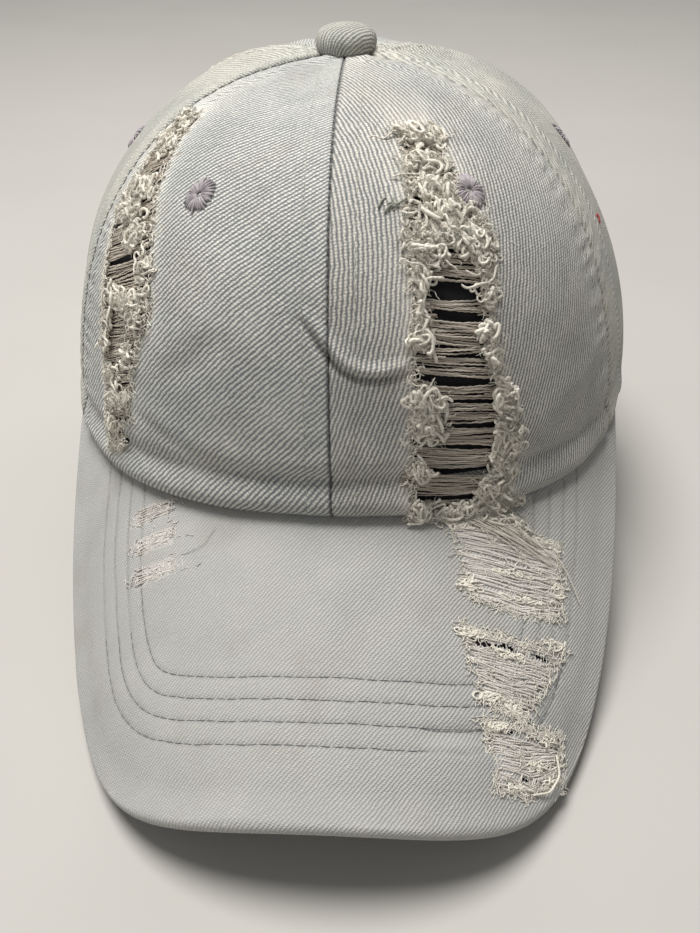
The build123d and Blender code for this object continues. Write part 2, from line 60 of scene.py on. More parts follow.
# ---------------------------------------------------------------- sizes of the looks
PANEL_THICK, BACKING_THICK, TAPE_THICK, BAND_THICK, LABEL_THICK = 0.9, 0.3, 0.35, 0.8, 0.25
DEGREE = 1.45  # mm of crown for a degree of turn, about half way up
TURN_IN = 6.3  # width of the seam allowances, which stand out beside a seam
SEAM_STITCH = 5.6  # from a seam to the row of stitches beside it
TAPE_HALF, TAPE_STITCH = 6.8, 5.4
BAND_STITCH_LOW, BAND_STITCH_HIGH = 3.5, 28.5
VISOR_ROW_FIRST, VISOR_ROW_STEP = 17.1, 4.8
HIDDEN_EDGE = 1.8  # how far the rear panels reach under the binding of the opening
BUTTON_R, EYELET_R = 7.85, 4.0


def together(*values):
    """Numbers or arrays, brought to one shape."""
    return np.broadcast_arrays(*(np.asarray(value, float) for value in values))


# ---------------------------------------------------------------- visor surface
def visor_radius(v):
    return VISOR_ROOT_RADIUS - VISOR_RADIUS_LOSS * v


def on_visor(u, v, out=0.0):
    """Points of the visor at flat pattern coordinates (u across, v forward), out mm above its top."""
    u, v, out = together(u, v, out)
    bend = visor_radius(v)
    x = (bend + out) * np.sin(u / bend)
    drop = bend - (bend + out) * np.cos(u / bend)
    y = -HALF_LENGTH - v * cos(VISOR_SLOPE) + drop * sin(VISOR_SLOPE)
    z = VISOR_ROOT_Z - v * sin(VISOR_SLOPE) - drop * cos(VISOR_SLOPE)
    return np.stack([x, y, z], axis=-1)


def visor_height(x, y):
    forward, drop = 0.0, 0.0
    for _ in range(12):
        bend = visor_radius(forward)
        drop = bend - sqrt(bend**2 - x**2)
        forward = (drop * sin(VISOR_SLOPE) - (y + HALF_LENGTH)) / cos(VISOR_SLOPE)
    return VISOR_ROOT_Z - forward * sin(VISOR_SLOPE) - drop * cos(VISOR_SLOPE)


def visor_edge(turn, inset=0.0):
    """Flat (u, v) of the visor's outline; turn runs from -90 to 90 degrees."""
    s, c = np.sin(turn), np.cos(turn)
    power = 2 / VISOR_EXPONENT
    u = np.sign(s) * (VISOR_HALF_FLAT - inset) * np.abs(s) ** power
    v = -VISOR_BACK + (VISOR_LENGTH - inset + VISOR_BACK) * np.abs(c) ** power
    return u, v


# ---------------------------------------------------------------- crown surface
def exponent_at(theta):
    turn = cos(radians(theta))
    end = FRONT_EXPONENT if turn > 0 else BACK_EXPONENT
    return SIDE_EXPONENT + (end - SIDE_EXPONENT) * turn * turn


def rim_side_height(y):
    ahead = RIM_FLAT_FROM_Y - y
    if ahead <= 0:
        return 0.0
    if ahead < 2 * RIM_BLEND:
        return RIM_SLOPE * ahead**2 / (4 * RIM_BLEND)
    return RIM_SLOPE * (ahead - RIM_BLEND)


def rim_height(theta):
    x, y = HALF_WIDTH * sin(radians(theta)), -HALF_LENGTH * cos(radians(theta))
    side = rim_side_height(y)
    past = (abs(theta) - EAR_ANGLE) / EAR_BLEND
    if past >= 1:
        return side
    top = visor_height(0.99 * x, 0.99 * y) + 0.1
    share = max(0.0, past)
    share = share * share * (3 - 2 * share)
    return top + (side - top) * share


THETAS = np.arange(-180.0, 181.0, 1.0)
WS = np.linspace(0.0, 1.0, 241)


def crown_column(theta):
    power = exponent_at(theta)
    shoulder = 0.5 ** (1 / power)
    rise = np.linspace(0, shoulder, 200)
    share = np.linspace(shoulder, 0, 200)
    r = np.concatenate([(1 - rise**power) ** (1 / power), share[1:]])
    z = np.concatenate([rise, (1 - share[1:] ** power) ** (1 / power)]) * CROWN_HEIGHT
    low = rim_height(theta)
    r_low = np.interp(low, z, r)
    r, z = np.append(r_low, r[z > low]), np.append(low, z[z > low])
    x, y = HALF_WIDTH * sin(radians(theta)) * r, -HALF_LENGTH * cos(radians(theta)) * r
    points = np.stack([x, y, z], axis=-1)
    walked = np.append(0, np.cumsum(np.linalg.norm(np.diff(points, axis=0), axis=1)))
    at = WS * walked[-1]
    return np.stack([np.interp(at, walked, points[:, k]) for k in range(3)], axis=-1), walked[-1]


def waves(a, b, count, shortest, longest, seed):
    """A smooth random field over two coordinates in mm, about -1 to 1."""
    draw = np.random.default_rng(seed)
    total = 0
    for _ in range(count):
        length, way, phase = draw.uniform(shortest, longest), draw.uniform(0, pi), draw.uniform(0, 2 * pi)
        total = total + np.sin(2 * pi * (a * cos(way) + b * sin(way)) / length + phase)
    return total / sqrt(count)


def line_distance(a, b, line):
    """Signed distance (positive on the left of its direction) from points (a, b) to a polyline, and
    the share of its length reached."""
    best = np.full(np.shape(a), 1e9)
    signed = np.zeros(np.shape(a))
    share = np.zeros(np.shape(a))
    for k, ((a0, b0), (a1, b1)) in enumerate(zip(line, line[1:])):
        da, db = a1 - a0, b1 - b0
        t = np.clip(((a - a0) * da + (b - b0) * db) / (da * da + db * db), 0, 1)
        gap = np.hypot(a - a0 - t * da, b - b0 - t * db)
        side = np.sign(da * (b - b0) - db * (a - a0))
        nearer = gap < best
        best = np.where(nearer, gap, best)
        signed = np.where(nearer, gap * side, signed)
        share = np.where(nearer, (k + t) / (len(line) - 1), share)
    return signed, share


def crease(theta, z, line, depth, width, bulge):
    """A fold along a polyline of (angle, height): a valley with a swelling on its upper side."""
    signed, share = line_distance(theta * DEGREE, z, [(t * DEGREE, h) for t, h in line])
    fade = np.clip(np.minimum(share, 1 - share) * 5, 0, 1) ** 0.7
    fade = np.where((share > 0) & (share < 1), fade, 0)
    valley = -depth * np.exp(-((signed / width) ** 2))
    swell = bulge * np.exp(-(((signed - 2.2 * width) / (1.6 * width)) ** 2))
    return fade * (valley + swell)


def fold_relief(theta, z):
    """How far the cloth stands in or out of its even shape, in mm."""
    front = np.exp(-((theta / 75) ** 4))
    relief = 0.22 * waves(theta * DEGREE, z, 9, 28, 70, 3)
    relief += (1 - front) * 0.5 * waves(theta * DEGREE, z, 9, 26, 60, 5)
    return relief


# The sharp fold beside the centre seam, as (angle, height), and all creases with depth, width and bulge.
FOLD_LINE = [
    (-5, 98), (-3, 95), (-1.2, 92), (0.2, 89.6), (2, 87.2), (4.5, 85.6), (7.5, 85), (11, 85.4), (14, 86),
]
CREASES = [
    (FOLD_LINE, 1.1, 0.9, 0.95),
    ([(-38, 66), (-30, 63.5), (-22, 61), (-12, 60), (0, 60.5), (12, 62)], 0.45, 2.0, 0.3),
    ([(34, 56), (42, 61), (52, 64), (60, 69)], 0.45, 3.0, 0.5),
    ([(-30, 78), (-24, 84), (-18, 92)], 0.35, 3.0, 0.3),
    ([(3, 60), (5, 70), (4, 78)], 0.3, 2.5, 0.3),
]


def crease_relief(theta, z):
    return sum(crease(theta, z, *fold) for fold in CREASES)


columns = [crown_column(t) for t in THETAS]
GRID = np.stack([c[0] for c in columns])
ARC = np.array([c[1] for c in columns])


def grid_normals(grid):
    along = np.gradient(grid, axis=0)
    up = np.gradient(grid, axis=1)
    normal = np.cross(along, up)
    length = np.linalg.norm(normal, axis=-1, keepdims=True)
    normal = normal / np.maximum(length, 1e-9)
    normal[:, -3:] = (0, 0, 1)
    return normal


swell = fold_relief(THETAS[:, None] + 0 * WS, GRID[..., 2])
swell *= np.clip((1 - WS) * 8, 0, 1)
GRID = GRID + grid_normals(GRID) * swell[..., None]
GRID[0], GRID[-1] = (GRID[0] + GRID[-1]) / 2, (GRID[0] + GRID[-1]) / 2
NORMAL = grid_normals(GRID)
SPREAD = np.linalg.norm(np.gradient(GRID, axis=0), axis=-1)


def sample(table, theta, w):
    theta = (np.asarray(theta, float) + 180) % 360
    i = np.clip(theta, 0, 359.999)
    j = np.clip(np.asarray(w, float), 0, 1) * (len(WS) - 1)
    i0, j0 = np.floor(i).astype(int), np.minimum(np.floor(j).astype(int), len(WS) - 2)
    fi, fj = i - i0, j - j0
    if table.ndim == 3:
        fi, fj = fi[..., None], fj[..., None]
    low = table[i0, j0] * (1 - fi) + table[i0 + 1, j0] * fi
    high = table[i0, j0 + 1] * (1 - fi) + table[i0 + 1, j0 + 1] * fi
    return low * (1 - fj) + high * fj


def on_crown(theta, w, out=0.0):
    theta, w, out = together(theta, w, out)
    return sample(GRID, theta, w) + sample(NORMAL, theta, w) * out[..., None]


def crown_w(theta, z):
    """The share of the profile, from the rim, at which the crown reaches a height."""
    theta, z = together(theta, z)
    flat = []
    for t, h in zip(theta.ravel(), z.ravel()):
        column = GRID[int(round((t + 180) % 360)), :, 2]
        flat.append(np.interp(h, np.maximum.accumulate(column), WS))
    return np.array(flat).reshape(theta.shape)


def mm_per_degree(theta, w):
    return np.maximum(sample(SPREAD, theta, w), 0.02)


def arc_length(theta):
    return np.interp((np.asarray(theta, float) + 180) % 360 - 180, THETAS, ARC)


def about_crown(theta0, z0, a, b, out):
    """Points a mm across and b mm up from a spot of the crown, given by its angle and height."""
    w0 = crown_w(theta0, z0)
    return on_crown(theta0 + a / mm_per_degree(theta0, w0), w0 + b / arc_length(theta0), out)


# ---------------------------------------------------------------- meshes
def flat_uv(a, b, indexing="xy"):
    """Flat pattern coordinates in cm for a grid of points, from its mm along both ways."""
    return np.stack(np.meshgrid(a, b, indexing=indexing), axis=-1) / 10


def cloth_values(points, worn=0.0, seam=0.0, dim=0.0):
    """What the denim materials read at each point: wear, pale seam edges, and a darkening that is partly dark
    seam lines and partly painted shade.
    """
    return {k: np.full(points.shape[:2], v) for k, v in (("worn", worn), ("seam", seam), ("dim", dim))}


def outside(mask):
    """The cells of a grid that don't have all four corners in a mask of its points."""
    return ~(mask[:-1, :-1] & mask[1:, 1:] & mask[:-1, 1:] & mask[1:, :-1])


def nearest(u, v, points, parts):
    """Distance from each point (u, v) to the nearest of many points, in parts to save memory."""
    gap = np.full(u.shape, 1e9)
    for chunk in np.array_split(points, parts):
        gap = np.minimum(gap, np.hypot(u[..., None] - chunk[:, 0], v[..., None] - chunk[:, 1]).min(axis=-1))
    return gap


def finish_object(mesh, name, material, body):
    piece = bpy.data.objects.new(name, mesh)
    scene.collection.objects.link(piece)
    piece.data.materials.append(material)
    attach(piece, body)
    return piece


def mesh_from(name, points, faces, uv, material, body="cap", values=None):
    """points in mm, faces as index rows, uv per point in cm, values as {attribute: per point}."""
    points = np.asarray(points, float).reshape(-1, 3)
    faces = np.asarray(faces, int)
    mesh = bpy.data.meshes.new(name)
    mesh.vertices.add(len(points))
    mesh.vertices.foreach_set("co", (points * MM).ravel())
    sides = faces.shape[1]
    mesh.loops.add(faces.size)
    mesh.loops.foreach_set("vertex_index", faces.ravel())
    mesh.polygons.add(len(faces))
    mesh.polygons.foreach_set("loop_start", np.arange(0, faces.size, sides))
    mesh.polygons.foreach_set("loop_total", np.full(len(faces), sides))
    mesh.polygons.foreach_set("use_smooth", np.full(len(faces), True))
    layer = mesh.uv_layers.new(name="cloth")
    layer.data.foreach_set("uv", np.asarray(uv, float).reshape(-1, 2)[faces.ravel()].ravel())
    for key, value in (values or {}).items():
        attribute = mesh.attributes.new(key, "FLOAT", "POINT")
        attribute.data.foreach_set("value", np.asarray(value, np.float32).ravel())
    mesh.update()
    mesh.validate()
    return finish_object(mesh, name, material, body)


def grid_faces(rows, cols, wrap=False, keep=None, flip=False):
    """Quads of a rows x cols grid of points; wrap joins the last column to the first."""
    i, j = np.meshgrid(np.arange(rows - 1), np.arange(cols if wrap else cols - 1), indexing="ij")
    k = (j + 1) % cols
    quads = np.stack([i * cols + j, (i + 1) * cols + j, (i + 1) * cols + k, i * cols + k], axis=-1)
    quads = quads[keep] if keep is not None else quads.reshape(-1, 4)
    return quads[:, ::-1] if flip else quads


def sheet_mesh(name, points, uv, material, body="cap", thick=0.0, keep=None, values=None, flip=False):
    faces = grid_faces(*points.shape[:2], keep=keep, flip=flip)
    used = np.unique(faces)
    remap = np.full(points.shape[0] * points.shape[1], -1)
    remap[used] = np.arange(len(used))
    picked = {k: np.asarray(v).reshape(-1)[used] for k, v in (values or {}).items()}
    piece = mesh_from(
        name, points.reshape(-1, 3)[used], remap[faces], uv.reshape(-1, 2)[used], material, body, picked
    )
    if thick:
        solid = piece.modifiers.new("thickness", "SOLIDIFY")
        solid.thickness = thick * MM
        solid.offset = -1
    return piece


def unit(vectors):
    return vectors / np.maximum(np.linalg.norm(vectors, axis=-1, keepdims=True), 1e-9)


def tubes(name, paths, radii, material, body="cap", sides=6):
    """One mesh of many round threads. paths: list of (k, n, 3) arrays in mm; radii: matching (k,)."""
    all_points, all_faces, all_uv, shade, base = [], [], [], [], 0
    for group, radius in zip(paths, radii):
        group = np.asarray(group, float)
        if group.ndim == 2:
            group = group[None]
        k, n, _ = group.shape
        radius = np.broadcast_to(np.asarray(radius, float), (k,))
        tangent = unit(np.gradient(group, axis=1))
        side = unit(np.cross(tangent[:, 0], (0.31, 0.27, 0.91)))
        carried = []
        for step in range(n):
            side = unit(side - (side * tangent[:, step]).sum(-1, keepdims=True) * tangent[:, step])
            carried.append(side)
        side = np.stack(carried, axis=1)
        other = np.cross(tangent, side)
        turn = 2 * pi * np.arange(sides) / sides
        width = np.ones(n)
        width[0] = width[-1] = 0.35
        ring = side[:, :, None] * np.cos(turn)[:, None] + other[:, :, None] * np.sin(turn)[:, None]
        points = group[:, :, None] + ring * (radius[:, None] * width)[:, :, None, None]
        walked = np.cumsum(np.linalg.norm(np.diff(group, axis=1, prepend=group[:, :1]), axis=-1), axis=1)
        uv = np.empty((k, n, sides, 2))
        uv[..., 0] = walked[:, :, None] / 10
        uv[..., 1] = turn / (2 * pi)
        quads = grid_faces(n, sides, wrap=True, flip=True)
        faces = (np.arange(k)[:, None, None] * n * sides + quads[None]).reshape(-1, 4) + base
        all_points.append(points.reshape(-1, 3))
        all_faces.append(faces)
        all_uv.append(uv.reshape(-1, 2))
        shade.append(np.repeat(rng.uniform(0, 1, k), n * sides))
        base += k * n * sides
    points, faces, uv, shade = (np.concatenate(parts) for parts in (all_points, all_faces, all_uv, shade))
    return mesh_from(name, points, faces, uv, material, body, {"shade": shade})


def resample(line, step):
    line = np.asarray(line, float)
    walked = np.append(0, np.cumsum(np.linalg.norm(np.diff(line, axis=0), axis=1)))
    count = max(2, int(round(walked[-1] / step)) + 1)
    at = np.linspace(0, walked[-1], count)
    return np.stack([np.interp(at, walked, line[:, k]) for k in range(line.shape[1])], axis=-1)


def stitches(name, rows, material, body="cap", pitch=2.7, gap=0.55, radius=0.22, rise=0.16):
    """Rows of sewn thread. Each row is (points, normals) along its line, in mm."""
    groups = []
    steps, knots = 8, 7  # samples of the line and points of the thread, for each stitch
    margin = gap / pitch * steps / 2
    lift = rise * np.sin(np.linspace(0, pi, knots)) ** 0.6 - 0.12
    for points, normals in rows:
        both = resample(np.concatenate([points, normals], axis=1), pitch / steps)
        count = (len(both) - 1) // steps
        span = np.linspace(margin, steps - margin, knots)
        at = np.arange(count)[:, None] * steps + span[None] + rng.normal(0, 0.15, (count, 1))
        at = np.clip(at, 0, len(both) - 1)
        path, out = (
            np.stack([np.interp(at, np.arange(len(both)), both[:, k]) for k in part], axis=-1)
            for part in (range(3), range(3, 6))
        )
        groups.append(path + out * lift[None, :, None])
    return tubes(name, groups, [radius] * len(groups), material, body)


# ---------------------------------------------------------------- materials
def srgb(r, g, b):
    return tuple(((c / 255 + 0.055) / 1.055) ** 2.4 if c > 10 else c / 3294.6 for c in (r, g, b)) + (1.0,)


class Nodes:
    """A short way to write a node tree."""

    def __init__(self, name):
        self.material = bpy.data.materials.new(name)
        self.material.use_nodes = True
        self.tree = self.material.node_tree
        self.shader = self.tree.nodes["Principled BSDF"]

    def link(self, value, socket):
        if isinstance(value, bpy.types.NodeSocket):
            self.tree.links.new(value, socket)
        else:
            socket.default_value = value

    def math(self, operation, a, b=0.0, c=0.0, clamp=False):
        node = self.tree.nodes.new("ShaderNodeMath")
        node.operation = operation
        node.use_clamp = clamp
        for value, socket in zip((a, b, c), node.inputs):
            self.link(value, socket)
        return node.outputs[0]

    def add(self, a, b, clamp=False):
        return self.math("ADD", a, b, clamp=clamp)

    def times(self, a, b):
        return self.math("MULTIPLY", a, b)

    def scaled(self, value, by, plus, clamp=False):
        return self.math("MULTIPLY_ADD", value, by, plus, clamp)

    def wave(self, phase):
        """A sine wave between 0 and 1."""
        return self.scaled(self.math("SINE", phase), 0.5, 0.5)

    def mix(self, share, a, b, blend="MIX"):
        node = self.tree.nodes.new("ShaderNodeMix")
        node.data_type = "RGBA"
        node.blend_type = blend
        self.link(share, node.inputs[0])
        self.link(a, node.inputs[6])
        self.link(b, node.inputs[7])
        return node.outputs[2]

    def noise(self, scale, detail=3.0, vector=None, roughness=0.5):
        node = self.tree.nodes.new("ShaderNodeTexNoise")
        node.inputs["Scale"].default_value = scale
        node.inputs["Detail"].default_value = detail
        node.inputs["Roughness"].default_value = roughness
        if vector is not None:
            self.tree.links.new(vector, node.inputs["Vector"])
        return node.outputs["Fac"]

    def ramp(self, value, low, high):
        """0 below low, 1 above high, smooth between."""
        node = self.tree.nodes.new("ShaderNodeMapRange")
        node.interpolation_type = "SMOOTHSTEP"
        self.link(value, node.inputs[0])
        node.inputs[1].default_value = low
        node.inputs[2].default_value = high
        return node.outputs[0]

    def uv(self):
        node = self.tree.nodes.new("ShaderNodeUVMap")
        node.uv_map = "cloth"
        split = self.tree.nodes.new("ShaderNodeSeparateXYZ")
        self.tree.links.new(node.outputs[0], split.inputs[0])
        return node.outputs[0], split.outputs[0], split.outputs[1]

    def place(self):
        return self.tree.nodes.new("ShaderNodeTexCoord").outputs["Object"]

    def value_of(self, attribute):
        node = self.tree.nodes.new("ShaderNodeAttribute")
        node.attribute_name = attribute
        return node.outputs["Fac"]

    def bump(self, height, distance, strength=1.0):
        node = self.tree.nodes.new("ShaderNodeBump")
        node.inputs["Strength"].default_value = strength
        node.inputs["Distance"].default_value = distance * MM
        self.tree.links.new(height, node.inputs["Height"])
        self.tree.links.new(node.outputs[0], self.shader.inputs["Normal"])

    def set(self, **values):
        for name, value in values.items():
            self.shader.inputs[name.replace("_", " ")].default_value = value

    def coloured(self, share, low, high):
        self.link(self.mix(share, low, high), self.shader.inputs["Base Color"])


# The second tint darkens the cloth by the dim attribute: dark lines at the seams, partly painted shade in
# their grooves, and painted shade at the crown's lower edge, in its sharp fold and on the visor beside the
# crown.
WARM_TINT, GRIME_AND_SHADE_TINT = srgb(196, 178, 160), (0.35, 0.35, 0.36, 1)


def denim(name, angle, pitch, dark, light, blue, contrast=1.0, blue_share=0.3, dirt=0.5, bend=0.0):
    """Washed twill: slanted ribs of a pale and a dark yarn, with a patchy bleach. pitch is in cm."""
    n = Nodes(name)
    flat, u, v = n.uv()
    place = n.place()
    drift = n.noise(1.3, 2.0, flat)
    lean, turn = radians(angle), 2 * pi / pitch
    across = n.add(n.times(u, -sin(lean) * turn), n.times(v, cos(lean) * turn))
    if bend:
        # the ribs lie at the stated angle 7 cm below the crown's top and lean more towards the rim
        down = n.add(v, 7.0)
        across = n.add(across, n.times(n.times(down, down), bend * turn / 2))
    along = n.add(n.times(u, cos(lean) * turn / 0.72), n.times(v, sin(lean) * turn / 0.72))
    jitter = n.add(n.times(n.noise(9.0, 2.0, flat), 3.4), n.times(n.noise(40.0, 1.0, flat), 2.0))
    phase = n.add(n.add(across, n.times(drift, 7.0)), jitter)
    rib = n.math("POWER", n.wave(phase), 0.75)
    beat = n.wave(n.add(along, n.times(across, 0.5)))
    fibre = n.noise(60.0, 3.0, flat, 0.7)
    yarn = n.scaled(n.times(rib, n.scaled(beat, 0.35, 0.65)), 1.15, -0.08)
    slub = n.scaled(n.noise(14.0, 2.0, flat, 0.6), 0.7, -0.35)
    weave = n.add(n.add(yarn, slub), n.scaled(fibre, 1.1, -0.55), clamp=True)
    # the share of pale yarn changes in patches and is highest where the cloth is worn
    share = n.scaled(n.math("SUBTRACT", weave, 0.5), contrast, 0.5)
    share = n.add(share, n.scaled(n.noise(48.0, 4.0, place, 0.62), dirt, -0.5 * dirt), clamp=True)
    share = n.add(share, n.times(n.value_of("worn"), 0.5), clamp=True)
    colour = n.mix(share, dark, light)
    rope = n.ramp(n.noise(5.5, 3.0, flat, 0.6), 0.36, 0.62)
    colour = n.mix(n.times(n.times(n.value_of("seam"), rope), 0.45), colour, light)
    blueness = n.times(n.ramp(n.noise(44.0, 3.0, place, 0.6), 0.45, 0.66), blue_share * 1.5)
    colour = n.mix(blueness, colour, n.mix(0.6, colour, blue, "MULTIPLY"))
    warmth = n.times(n.ramp(n.noise(52.0, 3.0, place, 0.6), 0.5, 0.7), 0.16)
    colour = n.mix(warmth, colour, n.mix(0.9, colour, WARM_TINT, "MULTIPLY"))
    # painted shade: the dim attribute darkens the colour towards the darkening tint
    n.coloured(n.value_of("dim"), colour, n.mix(1.0, colour, GRIME_AND_SHADE_TINT, "MULTIPLY"))
    n.set(Roughness=0.93, Sheen_Weight=0.12, Sheen_Roughness=0.6, Specular_IOR_Level=0.15)
    n.bump(n.add(weave, n.times(n.noise(9.0, 3.0, flat), 0.5)), 0.28, 0.75)
    return n.material


def thread(name, low, high, twist=0.11, roughness=0.9, sheen=0.2):
    """Twisted yarn; each thread has its own shade. twist is in cm."""
    n = Nodes(name)
    flat, u, v = n.uv()
    ply = n.wave(n.scaled(u, 2 * pi / twist, n.times(v, 4 * pi)))
    share = n.scaled(ply, 0.35, n.times(n.noise(45.0, 2.0, flat), 0.3))
    share = n.add(share, n.times(n.value_of("shade"), 0.45), clamp=True)
    n.coloured(share, low, high)
    n.set(Roughness=roughness, Sheen_Weight=sheen, Sheen_Roughness=0.5, Specular_IOR_Level=0.2)
    n.bump(ply, 0.08, 0.7)
    return n.material


def plain_weave(name, low, high, pitch=0.055, roughness=0.9):
    """One yarn over, one under; pitch is in cm."""
    n = Nodes(name)
    flat, u, v = n.uv()
    a, b = (n.math("SINE", n.times(way, 2 * pi / pitch)) for way in (u, v))
    check = n.scaled(n.times(a, b), 0.5, 0.5)
    n.coloured(n.scaled(check, 0.55, n.times(n.noise(30.0, 3.0, flat), 0.55), clamp=True), low, high)
    n.set(Roughness=roughness, Sheen_Weight=0.1, Sheen_Roughness=0.5, Specular_IOR_Level=0.15)
    n.bump(check, 0.12, 0.7)
    return n.material


def metal(name, low, high):
    """Plated metal, a little worn."""
    n = Nodes(name)
    place = n.place()
    wear = n.noise(130.0, 3.0, place, 0.5)
    n.coloured(n.ramp(wear, 0.25, 0.75), low, high)
    n.link(n.scaled(wear, 0.1, 0.33), n.shader.inputs["Roughness"])
    n.set(Metallic=1.0)
    n.bump(n.noise(2600.0, 2.0, place), 0.008, 0.5)
    return n.material


def faded_denim(name, angle, pitch, dark, light, *rest, **more):
    return denim(name, angle, pitch, srgb(*dark), srgb(*light), srgb(192, 206, 216), *rest, **more)


DENIM_FRONT_LEFT = faded_denim(
    "denim_front_left", 42, 0.1, (112, 117, 120), (230, 227, 218), 1.05, dirt=0.6, bend=0.0247
)
DENIM_FRONT_RIGHT = faded_denim(
    "denim_front_right", 80, 0.1, (112, 116, 118), (228, 223, 213), 1.05, dirt=0.6, bend=-0.057
)
DENIM_SIDE = faded_denim("denim_side", 50, 0.1, (128, 131, 128), (226, 221, 208), 0.9, dirt=0.75)
DENIM_REAR = faded_denim("denim_rear", 58, 0.1, (122, 127, 129), (226, 222, 212), 0.95)
# The visor's pale yarn is darker than the crown's, as painted shade from the crown above it; its weave also
# shows less contrast.
DENIM_VISOR = faded_denim("denim_visor", 50, 0.076, (156, 157, 154), (200, 197, 192), 0.6, 0.15, dirt=0.2)
DENIM_TRIM = faded_denim("denim_trim", 48, 0.1, (126, 130, 131), (220, 216, 206), 0.9)
BAND_CLOTH = denim(
    "sweatband_twill", 60, 0.08, srgb(150, 142, 126), srgb(206, 198, 180), srgb(206, 206, 200), 0.6, 0.1
)
BLACK_CLOTH = plain_weave("black_backing", srgb(12, 12, 14), srgb(40, 38, 42))
# dark purplish under-layer of the visor, darkened partly as painted shade inside its slits
SLIT_CLOTH = plain_weave("visor_slit_dark", srgb(52, 40, 52), srgb(96, 82, 92))
TAPE_CLOTH = plain_weave("cotton_tape", srgb(170, 162, 146), srgb(214, 208, 194), 0.06)
LABEL_CLOTH = plain_weave("label_satin", srgb(214, 212, 204), srgb(240, 238, 230), 0.04, 0.6)
FRAY = thread("fray_thread", srgb(204, 197, 183), srgb(236, 231, 219), sheen=0.3)
WEFT = thread("weft_thread", srgb(152, 140, 127), srgb(222, 212, 197))
VISOR_WEFT = thread("visor_weft", srgb(204, 196, 190), srgb(232, 227, 220))
DARK_THREAD = thread("dark_stitch", srgb(66, 70, 72), srgb(116, 120, 120))
GREY_THREAD = thread("grey_stitch", srgb(84, 88, 90), srgb(128, 132, 132))
PALE_THREAD = thread("pale_stitch", srgb(118, 122, 112), srgb(184, 184, 170))
EYELET_THREAD = thread("eyelet_thread", srgb(116, 108, 112), srgb(190, 183, 186), 0.2, 0.7, 0.1)
RED_THREAD = thread("red_thread", srgb(150, 40, 44), srgb(206, 80, 76))
BRASS = metal("antique_brass", srgb(142, 124, 94), srgb(172, 153, 116))
STEEL = metal("button_steel", srgb(120, 120, 118), srgb(190, 188, 182))

# ---------------------------------------------------------------- worn places of the front panels
# Edges as (height, angle); gaps as (height, half height, from angle, to angle), where the weft is gone.
RIPS = {
    "right": dict(
        low=48.5, high=125.5,
        left=[(48, 12.0), (66, 12.8), (80, 13.2), (100, 14.0), (108, 14.2), (117, 15.2), (126, 18.5)],
        right=[
            (48, 30.5), (60, 31.2), (68, 30.0), (75, 29.2), (88, 27.5), (100, 29.0), (110, 30.8), (115, 28.0),
            (126, 27.0),
        ],
        gaps=[
            (107.6, 0.5, 19, 26), (100.3, 1.35, 17, 27), (95.6, 0.85, 18, 26), (88.0, 0.3, 18, 23),
            (82.6, 0.55, 16, 26), (77.2, 0.6, 17, 25), (71.7, 0.6, 18, 27), (65.8, 0.35, 17, 23),
            (59.3, 1.0, 17, 27), (52.2, 0.6, 16, 26), (121.0, 0.4, 20, 24),
        ],
    ),
    "left": dict(
        low=50.0, high=123.5,
        left=[(49, -46.0), (66, -46.5), (80, -48.0), (94, -51.5), (102, -53.5), (112, -54.5), (124, -56.0)],
        right=[
            (49, -42.0), (58, -40.5), (66, -38.0), (80, -36.5), (91, -33.5), (100, -35.0), (108, -38.0),
            (116, -43.0), (124, -49.0),
        ],
        gaps=[
            (106.0, 0.45, -46, -40), (99.0, 0.6, -44, -38), (94.0, 0.3, -47, -39), (86.5, 0.3, -45, -39),
            (114.0, 0.3, -50, -45),
        ],
    ),
}


def rip_edges(rip, z):
    """The ragged left and right edge angles of a worn place at heights z."""
    return tuple(
        np.interp(z, *np.transpose(rip[side])) + ragged * waves(z, 0 * z, 4, 3.0, 9.0, seed)
        for side, ragged, seed in (("left", 0.35, 11), ("right", 0.45, 12))
    )


# start and end angle, cloth, points across and up
PANELS = {
    "front_left": (-60, 0, DENIM_FRONT_LEFT, 190, 300),
    "front_right": (0, 60, DENIM_FRONT_RIGHT, 190, 300),
    "side_left": (-120, -60, DENIM_SIDE, 96, 140),
    "side_right": (60, 120, DENIM_SIDE, 96, 140),
    "rear_left": (-180, -120, DENIM_REAR, 96, 140),
    "rear_right": (120, 180, DENIM_REAR, 96, 140),
}
PANEL_TOP = 0.985  # the button covers what is above this share of the profile


def seam_relief(theta, w, start, end):
    """Grooves at both seams, the raised allowance beside one of them, and puckers along the thread."""
    scale = mm_per_degree(theta, w)
    near, far = (theta - start) * scale, (end - theta) * scale
    run = w * arc_length(theta)
    relief = 0
    for d, seam, seed in ((near, start, start), (far, end, end + 7)):
        if seam == 0:
            relief = relief - 0.6 * np.exp(-((d / 0.36) ** 2)) + 0.1 / (1 + np.exp((d - TURN_IN) / 0.6))
            continue
        relief = relief - 0.75 * np.exp(-((d / 0.6) ** 2))
        ridge = 1 / (1 + np.exp((d - TURN_IN) / 0.45)) - np.exp(-((d / 1.3) ** 2))
        relief += 0.32 * np.clip(ridge, 0, 1)
        relief -= 0.22 * np.exp(-(((d - SEAM_STITCH) / 0.6) ** 2))
        pucker = np.sin(2 * pi * run / 5.2 + 2.0 * waves(run, 0 * run, 3, 14, 30, int(abs(seed)) + 40))
        relief += 0.14 * pucker * np.exp(-(((d - 4.5) / 4.0) ** 2))
    return relief


def rim_relief(theta, w):
    """The lower edge turns in, and the front of the crown rolls out above it."""
    up = w * arc_length(theta)
    front = np.exp(-((theta / 68) ** 6))
    hem = 0.35 * np.exp(-(((up - 5.0) / 2.6) ** 2))
    rolled = 1.3 * np.exp(-(((up - 4.8) / 3.4) ** 2)) - 1.2 * np.exp(-(((up - 11.4) / 2.4) ** 2))
    return -1.5 * np.exp(-((up / 1.6) ** 2)) + hem * (1 - front) + rolled * front


